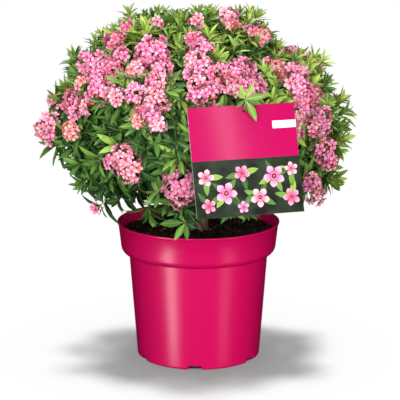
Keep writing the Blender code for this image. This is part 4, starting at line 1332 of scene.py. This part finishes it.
def reaches_out(leaves):
    """True for each leaf whose tip is too far past its twig's tip, or past the reach of the whole crown."""
    tip = point_along(leaves, 1.0)
    past = crown_share(tip) > leaves["limit"]
    return past | (np.abs(tip[:, :2]).max(axis=1) > LEAF_REACH) | (tip[:, 2] > LEAF_TOP)


def before_head(points):
    """True where a point hangs in front of a flower head."""
    offset = points[:, None] - head_centres[None]
    ahead = np.einsum("nhk,hk->nh", offset, head_outlooks)
    aside = np.linalg.norm(offset - ahead[..., None] * head_outlooks[None], axis=2)
    return np.any((ahead > 0) & (ahead < OUTLOOK_REACH) & (aside < head_radii * OUTLOOK_SHARE), axis=1)


def fitted(leaves, cover=LEAF_COVER):
    """The leaves that fit, shortened where they would stand too far out."""
    for _ in range(SHORTENINGS):
        outside = reaches_out(leaves)
        for key in ("length", "width"):
            leaves[key] = np.where(outside, leaves[key] * SHORTER, leaves[key])
    keep = ~reaches_out(leaves)
    for share in FIT_SHARES:
        points = point_along(leaves, share)
        keep &= clear_of_pot(points) & (behind_card(points) > LEAF_CLEAR_CARD)
        keep &= off_heads(points, cover) & ~before_head(points)
    return chosen(leaves, keep)


print(f"a leaf may be shortened to {SHORTER**SHORTENINGS:.2f} of its length")

# %% [markdown]
# ### Greens
#
# New growth at the top of this shrub is yellow-green and older leaves are a middle green, but the six greens
# also paint light and shade: a whorl's green is paler, as painted light, the higher, the farther out and the
# farther right it grows, and darker and bluish, as painted shade, low down and deep inside, with some chance.
# A leaf's colour has a place, so it's dealt out as plain base colours, and each blade gets a paler rib.

# %% Greens
# From the palest to the darkest: sunlit new growth down to painted shade.
GREENS = (
    ("leaf_new_sunlit", (0.370, 0.490, 0.080)),
    ("leaf_spring", (0.230, 0.365, 0.055)),
    ("leaf_bright", (0.130, 0.255, 0.038)),
    ("leaf_middle", (0.068, 0.160, 0.026)),
    ("leaf_dark", (0.030, 0.088, 0.019)),
    ("leaf_shade", (0.012, 0.038, 0.011)),
)
RIBS = (("rib_bright", (0.36, 0.48, 0.17)), ("rib_dark", (0.13, 0.22, 0.07)))
# The leaves of the darker, painted-shade greens take the darker rib.
DARK_RIBS_FROM = 3
# Painted light and shade: the green gets paler with height, with reach outwards and towards the right-hand
# side.
GREEN_STEPS = (-0.90, -0.62, -0.36, -0.08, 0.20)
LIGHT_ABOVE = 0.62
LIGHT_BELOW = 0.36
LIGHT_OUTWARD = 0.42
LIGHT_NOISE = 0.22
OUTWARD_FROM = 0.7
OUTWARD_SPAN = 0.25
TINT_SHARES = (0.2, 0.6, 0.2)
SUNNY_SIDE = (-0.04, -0.18, 0.60)


def leaf_material(name, colour, roughness):
    """A waxy leaf: a soft gloss and fine veins as relief."""
    return new_material(name, colour, roughness, (700, 0.00025, 0.35, 4), Specular_IOR_Level=0.5)


green_paints = [leaf_material(*green, 0.40) for green in GREENS]
green_paints += [leaf_material(*rib, 0.5) for rib in RIBS]


def tints_of(tips, generator):
    """The number of the green that each whorl gets, by painted light and shade, from sunlit new growth to
    deep shade.
    """
    offset = tips - CROWN_CENTRE
    height = offset[:, 2] / CROWN_RISE
    outward = (crown_share(tips) - OUTWARD_FROM) / OUTWARD_SPAN
    light = np.where(height > 0, LIGHT_ABOVE, LIGHT_BELOW) * height + LIGHT_OUTWARD * outward
    light += np.interp(offset[:, 0] / CROWN_REACH, (-1, 0, 1), SUNNY_SIDE)
    light += generator.normal(0, LIGHT_NOISE, len(tips))
    return np.digitize(-light, GREEN_STEPS)


def leaf_tints(whorl_tints, leaves, generator, darker=0):
    """Each leaf takes its whorl's green, or the next one up or down, and is darker by the given steps as
    painted shade.
    """
    step = generator.choice(3, len(leaves["root"]), p=TINT_SHARES) - 1
    return np.clip(whorl_tints[leaves["shoot"]] + darker + step, 0, len(GREENS) - 1)


def leaf_piece(name, pattern, leaves, tints):
    """One mesh of many leaves. The tints are material numbers, leaf by leaf."""
    corners, faces, is_rib = pattern
    ribs = len(GREENS) + (tints >= DARK_RIBS_FROM)
    kinds = np.where(is_rib[None, :], ribs[:, None], tints[:, None])
    mesh = joined_mesh(name, leaf_points(corners, leaves), faces, kinds)
    piece = object_of(name, mesh, green_paints, MASS_NAMES)
    print(f"{name}: {len(leaves['root'])} leaves, {triangle_count(piece)} triangles")
    return piece


print(f"{len(green_paints)} leaf materials")

# %% [markdown]
# ### Filling the crown
#
# Three layers make the crown: full whorls on the outside, more leaves on the twigs below them, and large
# leaves inside, which close the view through the middle. The lower and inner leaves take darker greens as
# painted shade, and the deepest all take the darkest. A collar of leaves stands below each flower head.
# The export wants pieces of under 200,000 triangles, so the outer leaves are two pieces, front and back.

# %% Leaves
COLLAR_SIDE_DEPTH = 0.10

outer_end = len(outer_tips)
middle_end = outer_end + len(middle_tips)
outer_axes = all_axes[:outer_end]

outer_tints = tints_of(outer_tips, generator)
top_leaves = fitted(whorls("tips", outer_tips, outer_axes, generator))
lower_leaves = fitted(whorls("below", twig_paths[:outer_end, -2], outer_axes, generator))
top_tints = leaf_tints(outer_tints, top_leaves, generator)
# The leaves below the tips are one green darker, as painted shade.
lower_tints = leaf_tints(outer_tints, lower_leaves, generator, 1)
in_front = top_leaves["root"][:, 1] < 0
for half, in_half in (("front", in_front), ("back", ~in_front)):
    leaf_piece(f"leaves_tips_{half}", ribbed_leaf(), chosen(top_leaves, in_half), top_tints[in_half])
leaf_piece("leaves_below", ribbed_leaf(), lower_leaves, lower_tints)

middle_leaves = fitted(whorls("middle", middle_tips, all_axes[outer_end:middle_end], generator))
# The middle leaves are one green darker as well, as painted shade.
middle_tints = leaf_tints(tints_of(middle_tips, generator), middle_leaves, generator, 1)
inner_axes = all_axes[middle_end:middle_end + len(inner_tips)]
deep_leaves = fitted(whorls("inner", inner_tips, inner_axes, generator))
# Painted shade: the deep leaves all take the darkest green.
deep_tints = np.full(len(deep_leaves["root"]), len(GREENS) - 1)
leaves_inner = leaf_piece("leaves_inner", plain_leaf(), joined_leaves(middle_leaves, deep_leaves),
                          np.concatenate([middle_tints, deep_tints]))

collar_leaves = fitted(whorls("collars", head_feet, head_axes, generator), COLLAR_COVER)
collar_tints = leaf_tints(tints_of(head_feet, generator), collar_leaves, generator)
at_side = np.abs(collar_leaves["root"][:, 1]) < COLLAR_SIDE_DEPTH
collars = {}
for part, in_part in (("side", at_side), ("face", ~at_side)):
    collars[part] = leaf_piece(f"leaves_collars_{part}", ribbed_leaf(), chosen(collar_leaves, in_part),
                               collar_tints[in_part])

# %% [markdown]
# ### What shades the floor
#
# A light can also be told which pieces block it. The picture's shadow is narrower than the crown, because
# light comes through its open outer sprays. So only the pot, the inner leaves and the collars at the two
# sides shade the floor.

# %% Floor shadow
casters = collection_of("shadow_casters", pot, leaves_inner, collars["side"])
floor_sun.light_linking.blocker_collection = casters

# %% [markdown]
# ## Flowers
#
# Each flower is a shallow funnel about 14 mm across with five pointed lobes, deep rose in its throat and
# palest at the edge. The pattern has one ring of corners at the throat and three rows out along each lobe,
# each given by its reach, half width and lift. The colours go by rows, as plain base colours, so they stay
# where they are on every copy.

# %% Flower pattern
LOBES = 5
THROAT_RADIUS = 0.0018
THROAT_DEPTH = 0.0028
LOBE_ROWS = ((0.0041, 0.0024, 0.0010), (0.0059, 0.0028, 0.0011), (0.0075, 0.0015, 0.0003))
LOBE_TIP = 0.0084
LOBE_SINK = 0.0005
STAMEN_FOOT = (0.0002, -0.003)
STAMEN_TIP = (0.0018, 0.0012)
STAMEN_TURNS = (0, 2.1, 4.2)
THROAT, STAMEN = 0, 4


def flower_pattern():
    """Corners, faces, and the part that each face shows: 0 throat, 1 inner lobe, 2 lobe, 3 edge, 4 stamen."""
    corners, faces, parts = [], [], []
    for k in range(2 * LOBES):
        turn = math.tau * (k - 1) / (2 * LOBES)
        corners.append((THROAT_RADIUS * math.cos(turn), THROAT_RADIUS * math.sin(turn), 0))
    corners.append((0, 0, -THROAT_DEPTH))
    for k in range(2 * LOBES):
        faces.append((k, 2 * LOBES, (k + 1) % (2 * LOBES)))
        parts.append(THROAT)
    for lobe in range(LOBES):
        turn = math.tau * lobe / LOBES
        out = np.array((math.cos(turn), math.sin(turn), 0))
        side = np.array((-math.sin(turn), math.cos(turn), 0))
        row = [2 * lobe, 2 * lobe + 1, (2 * lobe + 2) % (2 * LOBES)]
        for number, (reach, half, lift) in enumerate(LOBE_ROWS):
            first = len(corners)
            last = number == len(LOBE_ROWS) - 1
            for step in (-1, 0, 1):
                ahead = LOBE_TIP if last and step == 0 else reach
                sink = LOBE_SINK if step == 0 else 0
                corners.append(tuple(out * ahead + side * half * step + np.array((0, 0, lift - sink))))
            after = [first, first + 1, first + 2]
            for step in range(2):
                faces.append((row[step], after[step], after[step + 1], row[step + 1]))
                parts.append(number + 1)
            row = after
    for k in range(LOBES):
        turn = math.tau * (k + 0.5) / LOBES
        foot, depth = STAMEN_FOOT
        tip, height = STAMEN_TIP
        first = len(corners)
        corners += [(foot * math.cos(turn + a), foot * math.sin(turn + a), depth) for a in STAMEN_TURNS]
        corners.append((tip * math.cos(turn), tip * math.sin(turn), height))
        for step in range(3):
            faces.append((first + step, first + (step + 1) % 3, first + 3))
            parts.append(STAMEN)
    return np.array(corners), faces, np.array(parts)


print(f"a flower of {len(flower_pattern()[1])} faces")

# %% [markdown]
# A bud is closed: a slim drop, fattest above its middle. Its rings are given by radius and height.

# %% Bud pattern
BUD_SIDES = 6
BUD_RINGS = ((0.0006, 0), (0.0014, 0.004), (0.0021, 0.0075), (0.0013, 0.0105))
BUD_FOOT = -0.001
BUD_TIP = 0.0122


def bud_pattern():
    corners = [(0, 0, BUD_FOOT)]
    turns = [math.tau * k / BUD_SIDES for k in range(BUD_SIDES)]
    for radius, height in BUD_RINGS:
        corners += [(radius * math.cos(turn), radius * math.sin(turn), height) for turn in turns]
    corners.append((0, 0, BUD_TIP))
    top = len(corners) - 1
    faces = []
    for k in range(BUD_SIDES):
        after = (k + 1) % BUD_SIDES
        faces.append((0, 1 + after, 1 + k))
        for ring in range(len(BUD_RINGS) - 1):
            a = 1 + BUD_SIDES * ring
            faces.append((a + k, a + after, a + BUD_SIDES + after, a + BUD_SIDES + k))
        faces.append((top - BUD_SIDES + k, top - BUD_SIDES + after, top))
    return np.array(corners), faces


print(f"a bud of {len(bud_pattern()[1])} faces")

# %% [markdown]
# ### Petal colours
#
# The petals come in four families, from fresh pink to a faded salmon. Each has three shades, from the inner
# lobe to the edge. The throat and the stamens are the same in all, and the closed buds are coral.

# %% Petal colours
PETALS = (
    ("pink", (0.70, 0.14, 0.29), (0.76, 0.26, 0.42), (0.79, 0.35, 0.49)),
    ("blush", (0.72, 0.19, 0.28), (0.77, 0.34, 0.41), (0.80, 0.43, 0.49)),
    ("rose", (0.67, 0.10, 0.21), (0.74, 0.19, 0.31), (0.78, 0.29, 0.39)),
    ("salmon", (0.70, 0.18, 0.18), (0.75, 0.31, 0.29), (0.79, 0.41, 0.37)),
)
SHADES = ("_inner", "", "_edge")


def petal_material(name, colour, roughness=0.55):
    return new_material(name, colour, roughness, (900, 0.0002, 0.3), Specular_IOR_Level=0.3)


def petal_kinds(parts, families, rows):
    """The material numbers of a flower's faces, in the order of the petal materials."""
    lobes = 2 + len(SHADES) * families + rows - 1
    return np.where(parts == THROAT, 0, np.where(parts == STAMEN, 1, lobes))


petal_paints = [petal_material("petal_throat", (0.72, 0.06, 0.18))]
petal_paints.append(petal_material("stamen", (0.74, 0.26, 0.28)))
for family, *colours in PETALS:
    for shade, colour in zip(SHADES, colours):
        petal_paints.append(petal_material(f"petal_{family}{shade}", colour))
bud_paint = petal_material("bud_coral", (0.80, 0.11, 0.13))
stalk_paint = petal_material("flower_stalk", (0.40, 0.28, 0.10), 0.6)
print(f"{len(petal_paints)} petal materials in {len(PETALS)} families")

# %% [markdown]
# ### Flower heads
#
# A large head has about seventy flowers and a small one only a few. Their mouths lie on a ball round its
# centre, on all of it but the foot, where the stalks come in. A golden spiral spaces them, and noise makes
# the ball lumpy. A few stay closed as buds, and each head is mostly of one family.

# %% Flower heads
FLOWER_SPACING = 0.0093
HEAD_LUMPS = 0.42
LUMP_SCALE = 1.5
LUMP_SHIFT = 400
LAST_POLAR = math.radians(112)
PLACE_NOISE = 0.10
FACING_NOISE = 0.26
MOUTH_REACHES = (0.78, 1.02)
FAMILY_SHARES = (0.42, 0.32, 0.18, 0.08)
OWN_FAMILY = 0.68
BUD_CHANCE = 0.07
MOUTH_CLEAR_CARD = 0.006


def head_flowers(centre, axis, radius, generator):
    """Mouths and directions of one head's flowers."""
    cap = 1 - math.cos(LAST_POLAR)
    count = round(math.tau * radius**2 * cap / FLOWER_SPACING**2)
    polar = np.arccos(1 - cap * (np.arange(count) + 0.5) / count)[:, None]
    turn = np.radians(np.arange(count) * GOLDEN_ANGLE + generator.uniform(0, 360))[:, None]
    across = square_to(axis, units(generator.normal(size=3)))
    third = np.cross(axis, across)
    direction = axis * np.cos(polar) + (across * np.cos(turn) + third * np.sin(turn)) * np.sin(polar)
    direction = units(direction + generator.normal(0, PLACE_NOISE, direction.shape))
    offset = Vector(centre * LUMP_SHIFT)
    lumps = np.array([noise.noise(Vector(spot) * LUMP_SCALE + offset) for spot in direction])
    reach = radius * (generator.uniform(*MOUTH_REACHES, count) + HEAD_LUMPS * lumps)
    facing = units(direction + generator.normal(0, FACING_NOISE, direction.shape))
    return centre + direction * reach[:, None], facing


mouths, facings, families, heads_of = [], [], [], []
for number, (centre, axis, radius) in enumerate(zip(head_centres, head_axes, head_radii)):
    mouth, facing = head_flowers(centre, axis, radius, generator)
    others = generator.choice(len(PETALS), len(mouth), p=FAMILY_SHARES)
    mouths.append(mouth)
    facings.append(facing)
    families.append(np.where(generator.uniform(0, 1, len(mouth)) < OWN_FAMILY, head_families[number], others))
    heads_of.append(np.full(len(mouth), number))
mouths, facings, families, heads_of = (np.concatenate(rows) for rows in (mouths, facings, families, heads_of))
is_bud = generator.uniform(0, 1, len(mouths)) < BUD_CHANCE
visible = (behind_card(mouths) > MOUTH_CLEAR_CARD) & clear_of_pot(mouths)
print(f"{len(mouths)} flowers in {len(head_centres)} heads, {is_bud.sum()} of them buds")

# %% [markdown]
# Every flower has its own size, cup and ruffle, and here and there a face takes the next shade. The flowers
# are two pieces, front and back, and the buds and the stalks one each. A stalk bends from the head's foot
# to the flower.

# %% Flower meshes
FLOWER_SIZES = (0.78, 1.02)
CUPS = (-0.10, 0.70)
RUFFLE = 0.18
SHADE_SHARES = (0.22, 0.53, 0.25)
BUD_SIZES = (0.7, 1.05)
BUD_DEPTH = 0.008
STALK_RADIUS = 0.0005
STALK_BEND = 0.2
STALK_END = 0.9


def turned_copies(which, corners, sizes, generator):
    """The directions of some flowers, each turned about its own axis, and their sized corners."""
    up = facings[which]
    across = square_to(up, units(generator.normal(size=up.shape)))
    local = corners[None] * generator.uniform(*sizes, (len(which), 1, 1))
    return across, np.cross(up, across), up, local


def flower_mesh(name, which, generator):
    corners, faces, parts = flower_pattern()
    *directions, local = turned_copies(which, corners, FLOWER_SIZES, generator)
    cup = generator.uniform(*CUPS, (len(which), 1))
    spread = np.hypot(local[..., 0], local[..., 1])
    turn = np.arctan2(local[..., 1], local[..., 0])
    ruffle = RUFFLE * np.sin(2 * turn + generator.uniform(0, math.tau, (len(which), 1)))
    local[..., 2] += (cup + ruffle) * np.maximum(0, spread - THROAT_RADIUS)
    points = framed(mouths[which], *directions, local)
    shade = generator.choice(3, (len(which), len(parts)), p=SHADE_SHARES) - 1
    rows = np.clip(parts[None] + shade, 1, len(LOBE_ROWS))
    return joined_mesh(name, points, faces, petal_kinds(parts[None], families[which][:, None], rows))


def bud_mesh(which, generator):
    corners, faces = bud_pattern()
    feet = mouths[which] - facings[which] * BUD_DEPTH
    return joined_mesh("buds", framed(feet, *turned_copies(which, corners, BUD_SIZES, generator)), faces)


is_open = visible & ~is_bud
flower_triangles = 0
for half, in_half in (("front", mouths[:, 1] < 0), ("back", mouths[:, 1] >= 0)):
    name = f"flowers_{half}"
    mesh = flower_mesh(name, np.flatnonzero(is_open & in_half), generator)
    flower_triangles += triangle_count(object_of(name, mesh, petal_paints, MASS_NAMES))
buds = object_of("buds", bud_mesh(np.flatnonzero(visible & is_bud), generator), [bud_paint])

ends = mouths - facings * THROAT_DEPTH * STALK_END
bends = (head_feet[heads_of] + ends) / 2 + head_axes[heads_of] * head_radii[heads_of][:, None] * STALK_BEND
stalk_paths = np.stack([head_feet[heads_of], bends, ends], 1)[visible]
stalks = object_of("flower_stalks", tube_mesh("flower_stalks", stalk_paths, STALK_RADIUS, 3), [stalk_paint])
print(f"flowers {flower_triangles}, buds {triangle_count(buds)}, stalks {triangle_count(stalks)} triangles")

# %% [markdown]
# ## Two sprigs of their own
#
# One twig comes through the hole in the card, bends up and opens its leaves in front of it: the card hangs on
# it. Another sprig leans out over the pot's rim. Each leaf has a row: its turn from straight up to the left,
# how far it leans to the front, its length, and the number of its green.

# %% Sprigs
HANGER_RADIUS = 0.0013
HANGER_SEAT = CARD_HOLE_RADIUS * 0.96 - HANGER_RADIUS - GAP
HANGER_CENTRE = (0.001, -0.006, 0.013)
HANGER_STEPS = (
    (0, 0.010, HANGER_SEAT), (0, 0.001, HANGER_SEAT), (0.0002, -0.0035, HANGER_SEAT + 0.0012),
    (0.0006, -0.0055, 0.006), HANGER_CENTRE,
)
HANGER_LEAVES = (
    (22, 0.30, 0.020, 1), (125, 0.22, 0.016, 3), (203, 0.12, 0.030, 2), (250, 0.20, 0.021, 3),
    (277, 0.25, 0.026, 2), (328, 0.30, 0.022, 1), (60, 0.45, 0.015, 1),
)
RIM_CENTRE = np.array((-0.0175, -0.120, 0.2205))
RIM_ARRIVAL = np.array((-0.12, -0.92, -0.37))
RIM_FACING = np.array((0, -0.95, 0.30))
RIM_UP = np.array((0, 0.30, 0.95))
RIM_BEHIND = np.array((0, 0.02, 0.01))
RIM_LEAVES = (
    (94, 0.10, 0.034, 3), (149, 0.22, 0.028, 2), (186, 0.30, 0.024, 3), (238, 0.25, 0.016, 4),
    (290, 0.20, 0.020, 3), (40, 0.35, 0.018, 2),
)
SPRIG_TAPER = (1, 0.7)
SPRIG_RATIO = 0.33
SPRIG_DROOP = 0.14
SPRIG_FOLD = 0.35
SPRIG_START = 0.001
WOOD_BEHIND_CARD = 0.004


def sprig_leaves(centre, forward, up, table):
    """Leaves round a centre, as seen from its front."""
    turns, rises, lengths, _ = np.array(table).T
    turns = np.radians(turns)[:, None]
    along = units(up * np.cos(turns) + np.cross(forward, up) * np.sin(turns) + forward * rises[:, None])
    facing = square_to(along, np.broadcast_to(forward, along.shape))
    return {
        "root": centre + along * SPRIG_START,
        "along": along,
        "up": facing,
        "length": lengths,
        "width": lengths * SPRIG_RATIO,
        "droop": np.full(len(lengths), SPRIG_DROOP),
        "fold": np.full(len(lengths), SPRIG_FOLD),
    }


def card_place(x, y, z):
    """A point of the card's own frame, in the world."""
    return np.array(CARD_FRAME @ Vector((x, y, z)))


def nearest_wood(point):
    """The point of the twigs that lies nearest, behind the card's plane."""
    wood = twig_paths[:, 1:].reshape(-1, 3)
    wood = wood[card_coordinates(wood)[:, 1] > WOOD_BEHIND_CARD]
    return wood[np.argmin(np.linalg.norm(wood - point, axis=1))]


hanger_steps = [card_place(*step) for step in HANGER_STEPS]
hanger_path = np.array([nearest_wood(hanger_steps[0]), *hanger_steps])
rim_root = nearest_wood(RIM_CENTRE + RIM_BEHIND)
rim_path = bent_path(rim_root, units(RIM_CENTRE - rim_root), RIM_CENTRE, RIM_ARRIVAL, 4)
sprig_paths = np.stack([hanger_path, rim_path])
sprig_radii = HANGER_RADIUS * np.linspace(*SPRIG_TAPER, sprig_paths.shape[1])
object_of("sprig_twigs", tube_mesh("sprig_twigs", sprig_paths, sprig_radii, 8), [new_stalk])
card_front = -CARD_AXES[:, 1]
hanger = sprig_leaves(hanger_steps[-1], card_front, CARD_AXES[:, 2], HANGER_LEAVES)
rim = sprig_leaves(RIM_CENTRE, units(RIM_FACING), RIM_UP, RIM_LEAVES)
sprig_tints = np.array([row[3] for row in HANGER_LEAVES + RIM_LEAVES])
leaf_piece("leaves_sprigs", ribbed_leaf(), joined_leaves(hanger, rim), sprig_tints)

# %% [markdown]
# ## The card label
#
# The label is printed card, glossy on its front and white on its edges and back. It's one slab, cut into
# panels so that each has its own ink, with the hole cut by a Boolean. Its print is generic: a plain magenta
# panel with a blank white strip, and a dark green one with a loose pattern of blossoms and leaves.

# %% Card
PANEL_LINE = -0.0619
STRIP_WIDTH = 0.0313
STRIP_LEVELS = (-0.0251, -0.0156)
HOLE_SIDES = 32
HOLE_DEPTH = 0.01


def ink_of(place, normal):
    """The material number of a face: 0 white board, 1 magenta, 2 dark green."""
    if normal.y > -0.5:
        return 0
    if place.z < PANEL_LINE:
        return 2
    on_strip = place.x > CARD_RIGHT - STRIP_WIDTH and STRIP_LEVELS[0] < place.z < STRIP_LEVELS[1]
    return 0 if on_strip else 1


def card_slab():
    """The slab in the card's own frame, cut along the edges of its panels."""
    shape = bmesh.new()
    middle = Vector((CARD_LEFT + CARD_WIDTH / 2, CARD_THICKNESS / 2, CARD_BOTTOM + CARD_HEIGHT / 2))
    size = Matrix.Diagonal((CARD_WIDTH, CARD_THICKNESS, CARD_HEIGHT, 1))
    bmesh.ops.create_cube(shape, size=1, matrix=Matrix.Translation(middle) @ size)
    cuts = [((0, 0, level), (0, 0, 1)) for level in (PANEL_LINE, *STRIP_LEVELS)]
    cuts.append(((CARD_RIGHT - STRIP_WIDTH, 0, 0), (1, 0, 0)))
    for place, normal in cuts:
        everything = shape.verts[:] + shape.edges[:] + shape.faces[:]
        bmesh.ops.bisect_plane(shape, geom=everything, plane_co=place, plane_no=normal)
    for face in shape.faces:
        face.material_index = ink_of(face.calc_center_median(), face.normal)
    return mesh_from(shape, "card")


def hole_cutter():
    shape = bmesh.new()
    lying = Matrix.Rotation(math.pi / 2, 4, "X")
    bmesh.ops.create_cone(shape, cap_ends=True, segments=HOLE_SIDES, radius1=CARD_HOLE_RADIUS,
                          radius2=CARD_HOLE_RADIUS, depth=HOLE_DEPTH, matrix=lying)
    return mesh_from(shape, "hole")


white_board = new_material("white_board", (0.72, 0.72, 0.70), 0.5, (900, 0.00008, 0.2),
                           Specular_IOR_Level=0.3)
magenta_ink = new_material("magenta_ink", (0.305, 0.0004, 0.058), 0.16, Specular_IOR_Level=0.08)
wander_roughness(magenta_ink, 0.14, 0.19, 90)
green_ink = new_material("dark_green_ink", (0.010, 0.018, 0.012), 0.30, Specular_IOR_Level=0.10)
wander_colour(green_ink, (0.003, 0.004, 0.003), (0.016, 0.026, 0.013), 45, detail=5)

card = object_of("hang_card", card_slab(), [white_board, magenta_ink, green_ink])
cut_out(card, hole_cutter())
card.data.transform(CARD_FRAME)
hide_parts("label_card")
print(f"card: {len(card.data.polygons)} faces, {len(card.data.materials)} inks")

# %% [markdown]
# ### The pattern on the card
#
# The blossoms use the real flowers' shape, pressed flat and printed larger, and the leaves the real leaves'.
# Both lie a fraction of a millimetre in front of the card, so each keeps its plain base colours. A blossom
# has its place on the card, its size and its family. Four leaves stand round it, as far as the panel
# reaches.

# %% Card pattern
PRINT_LIFT = 0.00012
BLOSSOM_LIFT = 2.5 * PRINT_LIFT
PRINT_FLAT = 0.01
PRINT_MARGIN = 0.002
BLOSSOMS = (
    (-0.059, -0.083, 1.35, BLUSH), (-0.034, -0.104, 1.75, PINK), (-0.011, -0.080, 1.30, ROSE),
    (0.010, -0.112, 1.55, BLUSH), (0.031, -0.086, 1.75, PINK), (0.052, -0.114, 1.40, ROSE),
    (-0.058, -0.119, 1.15, ROSE), (0.055, -0.078, 1.10, BLUSH), (-0.013, -0.123, 0.95, PINK),
)
PRINT_LEAF = 0.023
PRINT_RATIO = 0.34
LEAF_TURN = 51


def on_card(turns):
    """Directions on the card's face, turned from its X axis towards its Z axis."""
    turns = np.reshape(turns, (-1, 1))
    return CARD_AXES[:, 0] * np.cos(turns) + CARD_AXES[:, 2] * np.sin(turns)


corners, faces, parts = flower_pattern()
places = np.array([card_place(x, -BLOSSOM_LIFT, z) for x, z, _, _ in BLOSSOMS])
print_front = np.broadcast_to(card_front, places.shape)
print_across = on_card(np.radians(np.arange(len(BLOSSOMS)) * GOLDEN_ANGLE))
print_sizes = np.array([size for _, _, size, _ in BLOSSOMS])[:, None, None]
flat_corners = corners * np.array((1, 1, PRINT_FLAT)) * print_sizes
points = framed(places, print_across, np.cross(print_front, print_across), print_front, flat_corners)
kinds = petal_kinds(parts, np.array([family for *_, family in BLOSSOMS])[:, None], parts)
object_of("card_blossoms", joined_mesh("card_blossoms", points, faces, kinds), petal_paints)

roots, turns = [], []
for number, (x, z, _, _) in enumerate(BLOSSOMS):
    for step in range(4):
        turn = math.radians(number * LEAF_TURN + step * 90)
        end = (x + math.cos(turn) * PRINT_LEAF, z + math.sin(turn) * PRINT_LEAF)
        inside = CARD_LEFT < end[0] - PRINT_MARGIN and end[0] + PRINT_MARGIN < CARD_RIGHT
        if inside and CARD_BOTTOM < end[1] - PRINT_MARGIN and end[1] + PRINT_MARGIN < PANEL_LINE:
            roots.append(card_place(x, -PRINT_LIFT, z))
            turns.append(turn)
count = len(roots)
flat_leaves = {
    "root": np.array(roots),
    "along": on_card(turns),
    "up": np.broadcast_to(card_front, (count, 3)),
    "length": np.full(count, PRINT_LEAF),
    "width": np.full(count, PRINT_LEAF * PRINT_RATIO),
    "droop": np.zeros(count),
    "fold": np.zeros(count),
}
corners, faces, is_rib = ribbed_leaf()
kinds = np.where(is_rib[None], len(GREENS) + 1, (np.arange(count) % 4 + 1)[:, None])
leaf_print = joined_mesh("card_leaves", leaf_points(corners, flat_leaves), faces, kinds)
object_of("card_leaves", leaf_print, green_paints)
print(f"{len(BLOSSOMS)} printed blossoms and {count} printed leaves")

# %% [markdown]
# ### The light band on the card
#
# The card's upper panel shows a soft pale band left of its middle: a window or lamp mirrored in its gloss.
# A mirror answers where that lamp stands: turn the line of sight about the card's normal at that place.

# %% Card glow
GLOW_SPOT = (-0.026, 0, -0.030)
GLOW_DISTANCE = 0.40
GLOW_SIZE = (0.02, 0.30)
GLOW_POWER = 0.5

spot = Vector(card_place(*GLOW_SPOT))
sight = (camera.location - spot).normalized()
mirror = Vector(card_front)
towards_lamp = 2 * mirror.dot(sight) * mirror - sight
glow = gloss_strip("card_glow", spot + towards_lamp * GLOW_DISTANCE, spot, GLOW_SIZE, GLOW_POWER, card)
print(f"lamp for the card at {tuple(round(v, 2) for v in glow.location)}")

# %% [markdown]
# ## Measuring
#
# The box of the solids and the box of the dressed plant are both printed. The dressed
# plant has to keep to the size of its solids.

# %% Size
boxes = {"cad": [list(corner) for corner in cad_box], "scene": [list(corner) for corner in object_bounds()]}
print(boxes)
